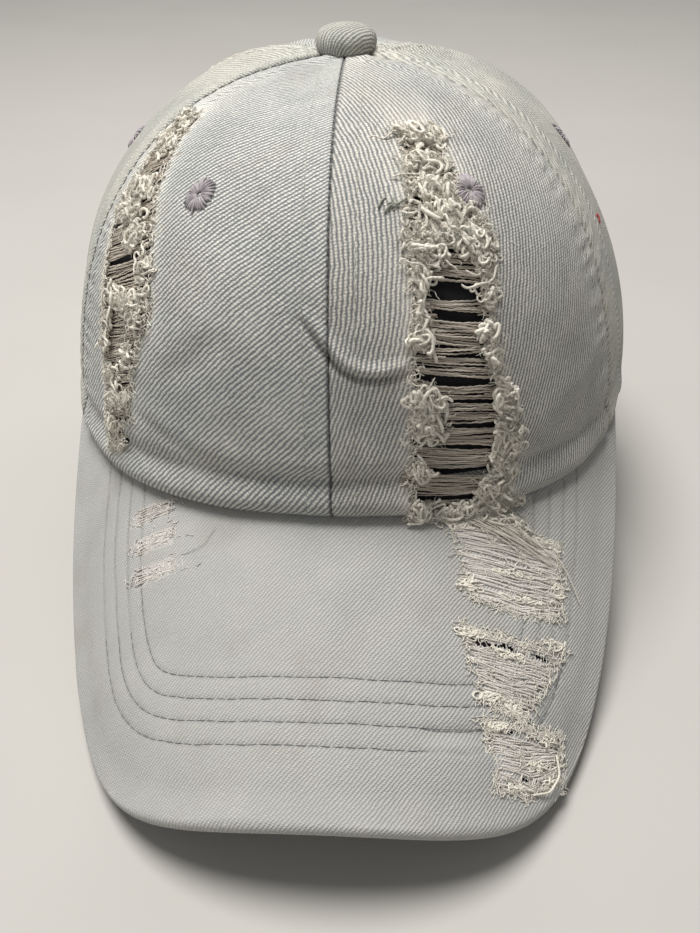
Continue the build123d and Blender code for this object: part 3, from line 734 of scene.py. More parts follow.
def panel_out(theta, w, start, end):
    height = sample(GRID, theta, w)[..., 2]
    return seam_relief(theta, w, start, end) + rim_relief(theta, w) + crease_relief(theta, height)


def out_at(theta, w):
    """How far a front, side or rear panel stands out at one angle."""
    start = 60 * np.floor(np.mean(theta) / 60)
    return panel_out(theta, w, start, start + 60)


for place, (start, end, cloth, across, up) in PANELS.items():
    s = np.linspace(0, 1, across)
    theta = start + (end - start) * (s - 0.5 * np.sin(2 * pi * s) / (2 * pi))
    theta, w = np.meshgrid(theta, np.linspace(0, PANEL_TOP, up), indexing="xy")
    points = on_crown(theta, w, panel_out(theta, w, start, end))
    scale = mm_per_degree(theta, w)
    near, far = (theta - start) * scale, (end - theta) * scale
    up_edge = w * arc_length(theta)
    uv = np.stack([(theta - (start + end) / 2) * scale, -(1 - w) * arc_length(theta)], axis=-1) / 10
    z = on_crown(theta, w)[..., 2]
    pale = sum((0.25 if at == 0 else 1) * np.exp(-d / 7) for d, at in ((near, start), (far, end)))
    worn = np.zeros(theta.shape)
    keep = np.ones((up - 1, across - 1), bool)
    if place.startswith("front"):
        rip = RIPS[place.split("_")[1]]
        left, right = rip_edges(rip, z)
        keep = outside((theta > left) & (theta < right) & (z > rip["low"]) & (z < rip["high"]))
        beside = np.maximum(left - theta, theta - right) * scale
        gap = np.maximum(beside, np.maximum(rip["low"] - z, z - rip["high"]))
        worn = np.exp(-np.clip(gap, 0, 99) / 1.6)
    if place.startswith("rear"):
        wide, high = OPENING_HALF_WIDTH + HIDDEN_EDGE, OPENING_HEIGHT + HIDDEN_EDGE
        keep = outside((points[..., 0] / wide) ** 2 + (z / high) ** 2 < 1)
    # dim darkens the cloth: a dark line at each seam, partly painted shade in its groove; painted shade along
    # the lower edge, where it turns in; and painted shade along the sharp fold.
    dim = sum(0.75 * np.exp(-d / (0.32 if at == 0 else 0.6)) for d, at in ((near, start), (far, end)))
    signed, along = line_distance(theta * DEGREE, z, [(t * DEGREE, h) for t, h in FOLD_LINE])
    folded = 0.55 * np.exp(-((signed / 0.7) ** 2)) * np.clip(np.minimum(along, 1 - along) * 5, 0, 1)
    dim = np.clip(dim + 0.6 * np.exp(-up_edge / 0.8) + folded, 0, 1)
    panel = sheet_mesh(
        f"cloth_{place}", points, uv, cloth, thick=PANEL_THICK, keep=keep,
        values={"worn": worn, "seam": np.clip(pale, 0, 1), "dim": dim}, flip=True,
    )
    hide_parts(f"panel_{place}")

# ---------------------------------------------------------------- cloth inside the crown
for side, start, end in (("left", -60, 0), ("right", 0, 60)):
    theta, w = np.meshgrid(np.linspace(start + 0.6, end - 0.6, 110), np.linspace(0.004, 0.93, 200))
    relief = np.clip(panel_out(theta, w, start, end), -1.5, 0.1)
    points = on_crown(theta, w, relief - 1.3 + 0.05 * waves(theta * DEGREE, w * 150, 5, 8, 20, 60 + end))
    uv = np.stack([(theta - start) * mm_per_degree(theta, w), w * arc_length(theta)], axis=-1) / 10
    backing = sheet_mesh(f"backing_{side}", points, uv, BLACK_CLOTH, thick=BACKING_THICK, flip=True)
    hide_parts(f"front_backing_{side}")

TAPES = {"front": 0, "front_right": 60, "rear_right": 120, "rear": 180, "rear_left": -120, "front_left": -60}
TAPE_TOP, TAPE_DEPTH = 0.9, 2.05
for place, seam in TAPES.items():
    low = 0.1 if place != "rear" else 0.48
    w = np.linspace(low, TAPE_TOP, 90)
    across = np.linspace(-TAPE_HALF, TAPE_HALF, 15)
    theta = seam + across[None, :] / mm_per_degree(seam, w)[:, None]
    hump = 0.35 * np.cos(across / TAPE_HALF * pi / 2)[None, :] - 0.3
    points = on_crown(theta, w[:, None], -TAPE_DEPTH - hump)
    uv = flat_uv(across, w * arc_length(seam))
    tape = sheet_mesh(f"tape_{place}", points, uv, TAPE_CLOTH, thick=TAPE_THICK, flip=True)
    tape.modifiers["thickness"].offset = 1
    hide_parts(f"seam_tape_{place}")
    rows = []
    for d in (-TAPE_STITCH, TAPE_STITCH):
        line_w = np.linspace(low, TAPE_TOP, 120)
        line_t = seam + d / mm_per_degree(seam, line_w)
        rows.append((on_crown(line_t, line_w, -TAPE_DEPTH - 0.3), -sample(NORMAL, line_t, line_w)))
    stitches(f"tape_thread_{place}", rows, PALE_THREAD, pitch=3.0, radius=0.18, rise=0.12)


# The crown's edge is folded in over a hem; its section is a rounded U, as (outwards, up).
HEM_SECTION = [
    (-0.9, 0.8), (-1.4, 0.15), (-2.4, -0.12), (-3.6, -0.15), (-4.6, 0.1), (-5.2, 0.9), (-5.3, 3.0),
    (-5.2, 6.0), (-4.4, 8.6), (-3.0, 9.0), (-1.9, 8.4),
]
theta = np.linspace(-154, 154, 420)
rim = on_crown(theta, 0 * theta)
level = sample(NORMAL, theta, 0 * theta) * (1, 1, 0)
level /= np.linalg.norm(level, axis=-1, keepdims=True)
on_visor_side = np.clip((EAR_ANGLE + 2 - np.abs(theta)) / 3, 0, 1)
points = np.stack([
    rim + level * d + np.stack([0 * theta, 0 * theta, h - on_visor_side * d * 0.43], axis=-1)
    for d, h in HEM_SECTION
])
uv = flat_uv(theta * 1.5, np.arange(len(HEM_SECTION)) * 1.4)
hem = sheet_mesh("rim_fold", points, uv, DENIM_TRIM, values=cloth_values(points, seam=0.4))
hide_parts("rim_hem")


def band_low(theta):
    """The sweatband's lower edge: above the rim at the sides, below the visor in front."""
    x, y = (HALF_WIDTH - 6) * sin(radians(theta)), -(HALF_LENGTH - 6) * cos(radians(theta))
    side = rim_side_height(-HALF_LENGTH * cos(radians(theta)))
    if abs(theta) > EAR_ANGLE:
        return side + 0.6
    return min(side, visor_height(x, y) - VISOR_THICK - 0.2) + 0.3


def band_points(theta, height, depth):
    """Points of a band inside the crown; height is in mm above its own lower edge."""
    low = np.array([band_low(t) for t in theta])
    rim = np.array([rim_height(t) for t in theta])
    result = []
    for h in height:
        z = low + h
        spot = on_crown(theta, crown_w(theta, np.maximum(z, rim + 0.01)))
        spot = spot - sample(NORMAL, theta, crown_w(theta, z)) * depth
        spot[:, 2] = z
        result.append(spot)
    return np.stack(result)


theta = np.linspace(-157, 157, 320)
height = np.concatenate([[0.2, 0.0, 0.3], np.linspace(1.2, 30.8, 26), [31.6, 31.9]])
points = band_points(theta, height, 6.5)
inward = points - points.mean(axis=(0, 1))
inward[..., 2] = 0
inward /= np.linalg.norm(inward, axis=-1, keepdims=True)
profile = np.zeros(len(height))
profile[[0, 1, -2, -1]] = 0.55, 0.3, 0.2, 0.45
profile += 0.35 * np.exp(-(((height - BAND_STITCH_LOW) / 0.8) ** 2))
profile += 0.35 * np.exp(-(((height - BAND_STITCH_HIGH) / 0.8) ** 2))
profile -= 0.3 * np.exp(-(((height - 16) / 7) ** 2))
belly = np.sin(np.clip(height / 32, 0, 1) * pi)[:, None]
uneven = 0.25 * waves(theta * 1.3, 0 * theta, 5, 25, 60, 77) * belly
points = points + inward * (profile[:, None] + uneven)[..., None]
arch = (points[..., 0] / OPENING_HALF_WIDTH) ** 2 + (points[..., 2] / OPENING_HEIGHT) ** 2 < 1
arch &= points[..., 1] > 0
band = sheet_mesh(
    "sweatband_cloth", points, flat_uv(theta * 1.35, height), BAND_CLOTH, thick=BAND_THICK,
    keep=~(arch[:-1, :-1] & arch[1:, 1:]), values=cloth_values(points), flip=True,
)
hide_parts("sweatband")
rows = [(band_points(theta, [h], 7.5)[0], -inward[0]) for h in (BAND_STITCH_LOW, BAND_STITCH_HIGH)]
stitches("sweatband_thread", rows, PALE_THREAD, pitch=3.2, radius=0.2)

theta = np.linspace(-135.5, -112.5, 24)
height = np.linspace(6.3, 23.7, 14)
points = band_points(theta, height, 7.3)
uv = flat_uv(theta * 1.35, height)
label = sheet_mesh("blank_label", points, uv, LABEL_CLOTH, thick=LABEL_THICK, flip=True)
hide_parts("care_label")

# ---------------------------------------------------------------- binding of the rear opening
# its section, as (how far outside the opening, how far out of the crown)
BINDING_SECTION = [
    (4.6, -1.5), (4.2, -1.75), (1.0, -1.75), (-0.3, -1.5), (-0.75, -0.6), (-0.3, 0.3), (0.4, 0.55),
    (2.4, 0.75), (4.4, 0.5), (4.75, 0.05),
]


def back_angle(x, z):
    """The crown's angle at a place seen from behind."""
    share = (1 - (min(z, 100) / CROWN_HEIGHT) ** BACK_EXPONENT) ** (1 / BACK_EXPONENT)
    return 180 - degrees(asin(np.clip(x / (HALF_WIDTH * share), -1, 1)))


turn = np.linspace(0.02, pi - 0.02, 130)
binding_rows = []
for grow, out in BINDING_SECTION:
    x = (OPENING_HALF_WIDTH + grow) * np.cos(turn)
    z = (OPENING_HEIGHT + grow) * np.sin(turn) + 0.35 * (np.sin(turn) < 0.1)
    theta = np.array([back_angle(*spot) for spot in zip(x, z)])
    binding_rows.append(on_crown(theta, crown_w(theta, np.maximum(z, 0.2)), out + 0.08 * np.sin(turn * 70)))
points = np.stack(binding_rows)
uv = flat_uv(turn * 45, np.arange(len(points)) * 1.3)
values = cloth_values(points, worn=0.15, seam=0.3)
binding = sheet_mesh("opening_tape", points, uv, DENIM_TRIM, values=values, flip=True)
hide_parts("opening_binding")
row = (binding_rows[8] * 0.5 + binding_rows[7] * 0.5, grid_normals(points)[7])
stitches("opening_thread", [row], PALE_THREAD, pitch=2.8)

# ---------------------------------------------------------------- seam and edge stitching of the crown
def crown_row(seam, offset, low, high, out=-0.05, count=400):
    """A row of stitches beside a seam, offset mm from it, between two shares of the profile."""
    w = np.linspace(low, high, count)
    theta = seam + offset / mm_per_degree(seam, w)
    start = 60 * np.floor((seam + np.sign(offset) * 1e-3) / 60)
    return on_crown(theta, w, panel_out(theta, w, start, start + 60) + out), sample(NORMAL, theta, w)


# the thread of the seam itself shows on two seams; pale rows run beside every seam
dark_rows, pale_rows = [], []
for seam in (0, 60, -60, 120, -120, 180):
    low = 0.435 if seam == 180 else 0.015
    if seam == 0:
        dark_rows.append(crown_row(seam, -0.3, low, 0.95, out=0.2))
    if seam == -60:
        dark_rows.append(crown_row(seam, 0.7, low, 0.95, out=0.25))
    for side in {0: (-1, 1), -60: (-1,)}.get(seam, (1, -1)):
        pale_rows.append(crown_row(seam, side * SEAM_STITCH, low, 0.93))
stitches("seam_thread_dark", dark_rows, DARK_THREAD, pitch=2.4, radius=0.15)
stitches("seam_thread_pale", pale_rows, PALE_THREAD, pitch=2.6, radius=0.17, rise=0.1)

# ---------------------------------------------------------------- embroidered eyelets
EYELETS = {
    "front_left": (-28.0, 115.4), "front_right": (29.2, 115.8), "side_left": (-90.0, 108.0),
    "side_right": (90.0, 108.0), "rear_left": (-150.0, 105.0), "rear_right": (150.0, 105.0),
}
SPOKES = 40
for place, (theta0, z0) in EYELETS.items():
    turn = 2 * pi * np.arange(SPOKES) / SPOKES + rng.normal(0, 0.05, SPOKES)
    uneven = rng.normal(0, 0.28, (SPOKES, 1))
    reach = np.linspace(0.75, EYELET_R, 9)[None] + np.linspace(0, 1, 9)[None] * uneven
    a, b = reach * np.cos(turn)[:, None] * 0.92, reach * np.sin(turn)[:, None]
    h = out_at(theta0, crown_w(theta0, z0)) - 0.1 + 0.62 * np.sin(np.linspace(0.2, pi * 0.96, 9))[None]
    h = h + rng.normal(0, 0.05, (SPOKES, 1))
    lower = about_crown(theta0, z0, a, b, h)
    upper = about_crown(theta0, z0, a * 0.9, b * 0.9, h + 0.12)[::2]
    eyelet = tubes(f"stitched_eyelet_{place}", [lower, upper], [0.3, 0.26], EYELET_THREAD)
    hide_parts(f"eyelet_{place}")


# ---------------------------------------------------------------- loose fibres of the worn places
def curl_plane(count, spread, lengths, curl, lift, steps=20):
    """Random curling threads about a point: (a, b, h) in mm, a across, b up, h out of the cloth."""
    length = rng.uniform(*lengths, count)
    heading = rng.uniform(0, 2 * pi, count)
    bend = rng.choice((-1, 1), count) * rng.uniform(0.6, 1.4, count) * curl
    wobble = rng.normal(0, curl * 1.1, (count, 3))
    t = np.linspace(0, 1, steps)[None]
    angle = heading[:, None] + bend[:, None] * t * length[:, None]
    for k in range(3):
        angle = angle + wobble[:, k : k + 1] * length[:, None] * 0.35 * np.sin((k + 1.5) * pi * t + k)
    step = length[:, None] / (steps - 1)
    a, b = (np.cumsum(part * step, axis=1) for part in (np.cos(angle), np.sin(angle)))
    a = a - a.mean(axis=1, keepdims=True) + rng.normal(0, spread[0] / 2, (count, 1))
    b = b - b.mean(axis=1, keepdims=True) + rng.normal(0, spread[1] / 2, (count, 1))
    peak = rng.uniform(0.15, 1.0, (count, 1)) * lift
    arch = np.sin(pi * t * rng.uniform(0.7, 1.6, (count, 1)) + rng.uniform(0, 0.6, (count, 1)))
    return a, b, np.maximum(0.1 + peak * (0.35 + 0.65 * arch), 0.05)


def tuft_plane(count, spread, lift, steps=22):
    """Loops of soft yarn heaped about a point: (a, b, h) in mm."""
    a0 = rng.normal(0, spread[0] / 2.3, (count, 1))
    b0 = rng.normal(0, spread[1] / 2.3, (count, 1))
    dome = np.exp(-((a0 / spread[0]) ** 2) - (b0 / spread[1]) ** 2)
    h0 = lift * dome * rng.uniform(0.1, 1.0, (count, 1))
    first = rng.normal(0, 1, (count, 3)) * (0.6, 1.0, 0.4)
    first /= np.linalg.norm(first, axis=1, keepdims=True)
    second = np.cross(first, rng.normal(0, 1, (count, 3)))
    second /= np.linalg.norm(second, axis=1, keepdims=True)
    drift = rng.normal(0, 0.9, (count, 3))
    t = np.linspace(0, 1, steps)[None, :, None]
    turn = t * rng.uniform(1.0, 2.5, (count, 1, 1)) * pi + rng.uniform(0, 2 * pi, (count, 1, 1))
    size = rng.uniform(0.6, 1.5, (count, 1, 1)) * (1 + 0.5 * (t - 0.5) * rng.normal(0, 1, (count, 1, 1)))
    path = size * (1.45 * np.cos(turn) * first[:, None] + 0.8 * np.sin(turn) * second[:, None])
    path = path + t * drift[:, None]
    h = h0 + path[..., 2] * 0.6
    return a0 + path[..., 0], b0 + path[..., 1], np.maximum(h, 0.05 + 0.1 * rng.uniform(0, 1, (count, 1)))


def crown_tuft(theta0, z0, count, spread, lift):
    return about_crown(theta0, z0, *tuft_plane(count, spread, lift))


def crown_curls(theta0, z0, count, spread, lengths, curl, lift, steps=20):
    return about_crown(theta0, z0, *curl_plane(count, spread, lengths, curl, lift, steps))


def weft_paths(rip, spacing=0.38, steps=30):
    """Threads left lying across a worn place."""
    paths, sizes = [], []
    height = rip["low"] - 4
    while height < rip["high"] + 3:
        theta_mid = np.mean(rip_edges(rip, np.array([height])))
        # the weft keeps square to the grain, so it climbs across the panel's curve
        climb = -0.72 * sin(radians(theta_mid))
        normal_z = sample(NORMAL, theta_mid, crown_w(theta_mid, height))[2]
        height += spacing * max(0.25, sqrt(max(0.0, 1 - normal_z**2)))
        left, right = (e[0] for e in rip_edges(rip, np.array([height])))
        gap = next((g for g in rip["gaps"] if abs(height - g[0]) < g[1]), None)
        pieces = [(left - 0.9, right + 0.9)]
        if gap:
            pieces = [(left - 0.9, gap[2] + rng.normal(0, 0.6)), (gap[3] + rng.normal(0, 0.6), right + 0.9)]
            pieces = [p for p in pieces if p[1] - p[0] > 1.6]
        if rng.uniform() < 0.04:
            continue
        for start, end in pieces:
            theta = np.linspace(start, end, steps)
            sway = 0.16 * np.sin(np.linspace(0, pi * rng.uniform(1, 3), steps) + rng.uniform(0, 6))
            sway = sway + rng.normal(0, 0.07)
            sway = sway + 0.28 * np.sin(height * 1.9 + np.linspace(0, 2.2, steps))
            sway = sway + 0.18 * np.sin(height * 0.7 - np.linspace(0, 4, steps))
            sway = sway + np.linspace(-1, 1, steps) * rng.normal(0, 0.12)
            w = crown_w((start + end) / 2, height) + sway / 150
            # the share of the profile at one height differs a little across the worn place
            rise = climb * (theta - theta_mid) * mm_per_degree(theta_mid, w[steps // 2])
            w = w + crown_w(theta, height + rise) - crown_w(np.full(steps, theta_mid), np.full(steps, height))
            ok = (w > 0.006) & (height + rise < rip["high"] + 1.5) & (height + rise > rip["low"] - 1.5)
            if ok.mean() < 0.5:
                continue
            w = np.maximum(w, 0.006)
            out = 0.16 * np.sin(np.linspace(0, pi * rng.uniform(2, 6), steps) + rng.uniform(0, 6))
            paths.append(on_crown(theta, w, out + rng.normal(0, 0.12) - 0.42))
            sizes.append(rng.uniform(0.14, 0.21))
    return np.stack(paths), np.array(sizes)


for side, rip in RIPS.items():
    paths, sizes = weft_paths(rip)
    tubes(f"weft_{side}", [paths], [sizes], WEFT)
    # short ends of the worn-through yarns along both edges
    ends, widths = [], []
    for z in np.arange(rip["low"] + 1, rip["high"] - 1, 0.8):
        left, right = (e[0] for e in rip_edges(rip, np.array([z])))
        for edge, way in ((left, 1), (right, -1)):
            spot = edge + way * rng.uniform(-0.2, 0.9)
            ends.append(crown_curls(spot, z, 3, (0.8, 1.0), (1.2, 3.4), 0.4, 0.6))
            widths.append(rng.uniform(0.08, 0.16, 3))
    tubes(f"edge_ends_{side}", ends, widths, FRAY, sides=5)

# Tufts as (angle, height, number of loops, spread across and up), and the places of longer loops.
CLUMPS = {
    "right": [
        (22.5, 124.5, 18, (6, 2.2)), (20.5, 121, 14, (4.5, 2)), (21, 117.5, 18, (5.5, 2.4)),
        (22, 113.5, 26, (7, 2.6)), (22, 110.5, 34, (9, 3)), (17, 108, 10, (4, 2.5)), (27, 107.5, 16, (5, 3)),
        (15.5, 104, 5, (2, 3)), (27.5, 103.5, 9, (2.6, 4)), (28, 98, 5, (1.6, 3.4)), (15, 97, 3, (1.4, 3)),
        (15.2, 93, 7, (2, 3)), (26.5, 91, 5, (2, 3)), (27, 85.5, 8, (2.4, 4)), (15.5, 79, 10, (3.4, 4)),
        (15.5, 73.5, 12, (4, 4)), (28.5, 77, 9, (2.4, 4)), (29, 70, 12, (2.6, 5)), (29.5, 64, 16, (3.2, 5)),
        (28.5, 58, 18, (3.6, 4.5)), (14.5, 62, 4, (1.6, 3)), (27.5, 52.5, 22, (5, 3.4)),
        (14, 51, 12, (3, 3)), (20, 48.5, 18, (8, 2)), (28.5, 47.5, 22, (6, 2)),
    ],
    "left": [
        (-53, 122, 11, (3.4, 3)), (-51, 118.5, 14, (4.2, 2.6)), (-47.5, 111, 18, (5, 2.6)),
        (-48.5, 106.5, 18, (6, 2.4)), (-43, 103.5, 10, (4.4, 2.4)), (-37.5, 100, 4, (1.6, 4)),
        (-36, 94, 4, (1.6, 3)), (-42, 90.5, 14, (8, 1.8)), (-37.5, 88.5, 8, (4, 2.2)),
        (-46.5, 84, 6, (2.6, 2.8)), (-46.5, 78, 5, (2.2, 3)), (-38.5, 80, 4, (1.6, 4)),
        (-43.5, 71.5, 8, (4, 2.2)), (-42, 65.5, 10, (4.6, 2)), (-44, 58, 6, (3.2, 2.6)),
        (-43.5, 52, 8, (3.2, 2.2)),
    ],
}
LONG_LOOPS = {
    "right": [
        (27.5, 105), (27, 101), (15.5, 101), (16.5, 78), (15.5, 73), (28.5, 77), (29.5, 67), (29.5, 61),
        (27, 51),
    ],
    "left": [(-37, 101), (-46, 91), (-37, 90), (-45.5, 82), (-43, 68)],
}
LOOSE_PART = {"left": 0.8, "right": 1.0}  # the share of the loops that stands


def felt_pad(theta0, z0, spread):
    """A low bumpy pad of matted fibre, which fills the ground between the loops of a tuft: points and uv."""
    r, turn = np.meshgrid(np.linspace(0.02, 1, 12), np.linspace(0, 2 * pi, 37)[:-1], indexing="ij")
    ragged = 1 + 0.16 * np.sin(3 * turn + rng.uniform(0, 6)) + 0.1 * np.sin(7 * turn + rng.uniform(0, 6))
    a = r * np.cos(turn) * ragged * spread[0] * 0.62
    b = r * np.sin(turn) * ragged * spread[1] * 0.72
    h = -0.55 + 0.85 * (1 - r**2) + 0.18 * waves(a, b, 5, 1.0, 2.6, int(z0))
    return about_crown(theta0, z0, a, b, h).reshape(-1, 3), np.stack([a, b], axis=-1).reshape(-1, 2) / 10


fuzz, fuzz_widths, pads = [], [], []
for side, clumps in CLUMPS.items():
    paths, widths = [], []
    for theta0, z0, count, spread in clumps:
        if count >= 9:
            pads.append(felt_pad(theta0, z0, spread))
        count = int(count * LOOSE_PART[side])
        many, few = int(count * 1.2), max(1, count // 9)
        paths.append(crown_tuft(theta0, z0, count * 2, spread, 0.35))
        widths.append(rng.uniform(0.28, 0.42, count * 2))
        paths.append(crown_tuft(theta0, z0, many, spread, 1.6))
        widths.append(rng.uniform(0.28, 0.46, many))
        paths.append(crown_curls(theta0, z0, few, spread, (6, 11), 0.3, 1.8))
        widths.append(rng.uniform(0.18, 0.26, few))
        wide = (spread[0] * 1.15, spread[1] * 1.25)
        fuzz.append(crown_curls(theta0, z0, count * 9, wide, (1.5, 4.5), 0.5, 2.3, steps=8))
        fuzz_widths.append(rng.uniform(0.04, 0.085, count * 9))
    for theta0, z0 in LONG_LOOPS[side]:
        paths.append(crown_curls(theta0, z0, 3, (2.4, 3), (9, 15), 0.34, 2.0, steps=34))
        widths.append(rng.uniform(0.24, 0.34, 3))
    tubes(f"fray_{side}", paths, widths, FRAY)
points, uv = (np.concatenate(parts) for parts in zip(*pads))
faces = np.concatenate([grid_faces(12, 36, wrap=True) + k * 12 * 36 for k in range(len(pads))])
mesh_from("matted_fibre", points, faces, uv, FRAY, values={"shade": np.full(len(points), 0.5)})
tubes("fray_fuzz", fuzz, fuzz_widths, FRAY, sides=3)

# single threads: two pairs of red ends, one pale tick
red = [
    crown_curls(-43.5, 49.5, 2, (1, 1), (3, 4), 0.3, 0.6),
    crown_curls(72.5, 94.5, 2, (0.6, 0.6), (2.5, 3.5), 0.3, 0.5),
]
tubes("red_ends", red, [0.2, 0.2], RED_THREAD)
tubes("pale_tick", [crown_curls(12.2, 116.3, 5, (2.4, 0.4), (3, 5), 0.1, 0.7)], [0.24], PALE_THREAD)

# ---------------------------------------------------------------- button
turn = np.linspace(0, 2 * pi, 73)[:-1]
BUTTON_SECTION = [
    (7.0, 0.1), (7.6, 0.7), (BUTTON_R, 1.7), (7.8, 2.9), (7.45, 4.0), (6.8, 4.9), (5.8, 5.55), (4.4, 5.95),
    (2.8, 6.15), (1.2, 6.22), (0.05, 6.24),
]
section = resample(BUTTON_SECTION, 0.4)
wrinkle = 0.012 * np.sin(9 * turn + 0.4) + 0.01 * np.sin(17 * turn)
circle = np.stack([np.cos(turn), np.sin(turn)], axis=-1)
points = []
for r, h in section:
    ring = circle * (r * (1 + wrinkle * min(1, r / 6)))[:, None]
    points.append(np.append(ring, np.full((len(turn), 1), CROWN_HEIGHT + h), axis=1))
points = np.stack(points)
walked = np.append(0, np.cumsum(np.hypot(*np.diff(section, axis=0).T)))
uv = (walked[-1] - walked)[:, None, None] * circle / 10
button = mesh_from(
    "button_denim", points, grid_faces(len(points), len(turn), wrap=True), uv, DENIM_SIDE,
    values=cloth_values(points, seam=0.1, dim=0.15),
)
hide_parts("button_cover")

# ---------------------------------------------------------------- visor
def wall_gap(u, v):
    """Above 0 where a place of the visor lies in front of the crown's wall."""
    p = on_visor(u, v)
    return (p[..., 0] / (HALF_WIDTH * 0.975)) ** 2 + (p[..., 1] / (HALF_LENGTH * 0.975)) ** 2 - 1


def solve(f, low, high):
    """Where a rising function passes 0, by halving."""
    low, high = np.array(low, float), np.array(high, float)
    for _ in range(45):
        mid = (low + high) / 2
        above = f(mid) > 0
        high = np.where(above, mid, high)
        low = np.where(above, low, mid)
    return (low + high) / 2


ear_turn = float(solve(lambda t: -wall_gap(*visor_edge(t, HALF_VISOR)), radians(60), radians(90)))
dense = np.linspace(-ear_turn, ear_turn, 1500)
edge_line = np.stack(visor_edge(dense), axis=-1)
walked = np.append(0, np.cumsum(np.hypot(*np.diff(edge_line, axis=0).T)))
COLS, ROWS, ROLL_STEPS = 340, 120, 13
turns = np.interp(np.linspace(0, walked[-1], COLS), walked, dense)
edge_u, edge_v = visor_edge(turns, HALF_VISOR)
root_u = edge_u[-1] * np.linspace(-1, 1, COLS)
root_v = solve(lambda v: wall_gap(root_u, v), np.full(COLS, -66.0), np.full(COLS, 8.0))
tangent_u, tangent_v = np.gradient(edge_u), np.gradient(edge_v)
size = np.hypot(tangent_u, tangent_v)
out_u, out_v = -tangent_v / size, tangent_u / size
out_sign = np.sign(out_v[COLS // 2])
out_u, out_v = out_u * out_sign, out_v * out_sign


def from_root(share):
    """Flat (u, v) between the crown's wall (share 0) and the outline (share 1)."""
    return root_u * (1 - share) + edge_u * share, root_v * (1 - share) + edge_v * share


share = np.linspace(0, 1, ROWS)[:, None]
U, V = from_root(share)
outline = resample(edge_line, 1.0)
edge_gap = nearest(U, V, outline, 60)


def stitch_line(inset):
    """The outline moved inwards, without the loops that its corners would make, and a little uneven."""
    along = np.gradient(outline, axis=0)
    inwards = np.stack([along[:, 1], -along[:, 0]], axis=-1) / np.linalg.norm(along, axis=1, keepdims=True)
    inwards *= np.sign(-inwards[len(outline) // 2, 1])
    line = outline + inwards * inset
    clear = np.hypot(line[:, :1] - outline[:, 0], line[:, 1:] - outline[:, 1]).min(axis=1)
    line = resample(line[(clear > inset - 0.06) & (wall_gap(*line.T) > 0.012)], 0.5)
    for _ in range(14):
        line[1:-1] = (line[:-2] + 2 * line[1:-1] + line[2:]) / 4
    sway = [waves(line[:, k], 0 * line[:, k], 4, 5, 16, int(inset) + 1 - k) for k in (1, 0)]
    return line + 0.09 * np.stack(sway, axis=-1)


def visor_swell(u, v):
    return 0.22 * waves(u, v, 8, 22, 60, 90)


stitch_lines = [stitch_line(VISOR_ROW_FIRST + VISOR_ROW_STEP * k) for k in range(4)]
row_gap = np.min([nearest(U, V, line[::2], 20) for line in stitch_lines], axis=0)
relief = visor_swell(U, V) - 0.2 * np.exp(-((row_gap / 0.7) ** 2))
relief += 0.5 * np.exp(-((edge_gap - HALF_VISOR) / 3.0)) - 0.25 * np.exp(-(((edge_gap - 7.5) / 3.0) ** 2))
# a dent under the worn right side
dent = [(20 / DEGREE, 47), (30 / DEGREE, 45.5), (42 / DEGREE, 46)]
relief += crease(U / DEGREE, V, dent, 0.5, 2.0, 0.3)

# Worn patches by their upper and lower edges, slits as (from, to, half width), small worn lines on the left.
PATCHES = [
    ([(28, -4), (45, -4), (59, -3)], [(34, 15), (47, 17), (60, 15)]),
    ([(31, 22), (46, 23), (61, 23)], [(36, 38), (44, 40), (49, 40)]),
    ([(36, 42), (48, 42), (60, 42)], [(40, 56), (50, 57), (62, 52)]),
]
SLITS = [
    ((33, 25.0), (56, 25.6), 1.0),
    ((31, 3.5), (50, 4.5), 0.3),
    ((36, 11.5), (57, 12.5), 0.35),
    ((40, 43.5), (63, 45.0), 0.7),
    ((44, 52.5), (61, 54.5), 0.6),
]
LEFT_RIPS = [((-53.5, -6.5), (-42.5, -8.5)), ((-52.5, 1.5), (-40.5, -0.5)), ((-51.5, 9.5), (-39.5, 7.5))]


def patch_point(patch, s, t):
    """s runs across a patch from its left edge, t down it."""
    k = np.linspace(0, 1, len(patch[0]))
    top, low = (np.stack([np.interp(s, k, way) for way in np.transpose(line)], axis=-1) for line in patch)
    t = np.asarray(t)[..., None]
    return top * (1 - t) + low * t


def in_patch(patch, u, v):
    """Which points lie inside a patch, by counting the edges that a line from each point crosses."""
    s = np.linspace(0, 1, 12)
    corners = np.concatenate([patch_point(patch, s, 0 * s), patch_point(patch, s[::-1], 0 * s + 1)])
    inside = np.zeros(u.shape, bool)
    for (a0, b0), (a1, b1) in zip(corners, np.roll(corners, -1, axis=0)):
        inside ^= ((b0 > v) != (b1 > v)) & (u < (a1 - a0) * (v - b0) / (b1 - b0 + 1e-12) + a0)
    return inside


worn, cut = np.zeros(U.shape), np.zeros(U.shape, bool)
for patch in PATCHES:
    worn = np.maximum(worn, in_patch(patch, U, V) & (waves(U, V, 5, 3, 9, 31) > -1.4))
for start, end, width in SLITS:
    signed, along = line_distance(U, V, [start, end])
    ragged = 0.75 + 0.35 * waves(U, V, 4, 3, 8, int(start[1]) + 200)
    cut |= (np.abs(signed) < width * ragged) & (along > 0) & (along < 1)
for line in LEFT_RIPS:
    signed, along = line_distance(U, V, list(line))
    worn = np.maximum(worn, (np.abs(signed) < 2.3) * (along > 0) * (along < 1) * 1.0)
relief -= 0.12 * worn

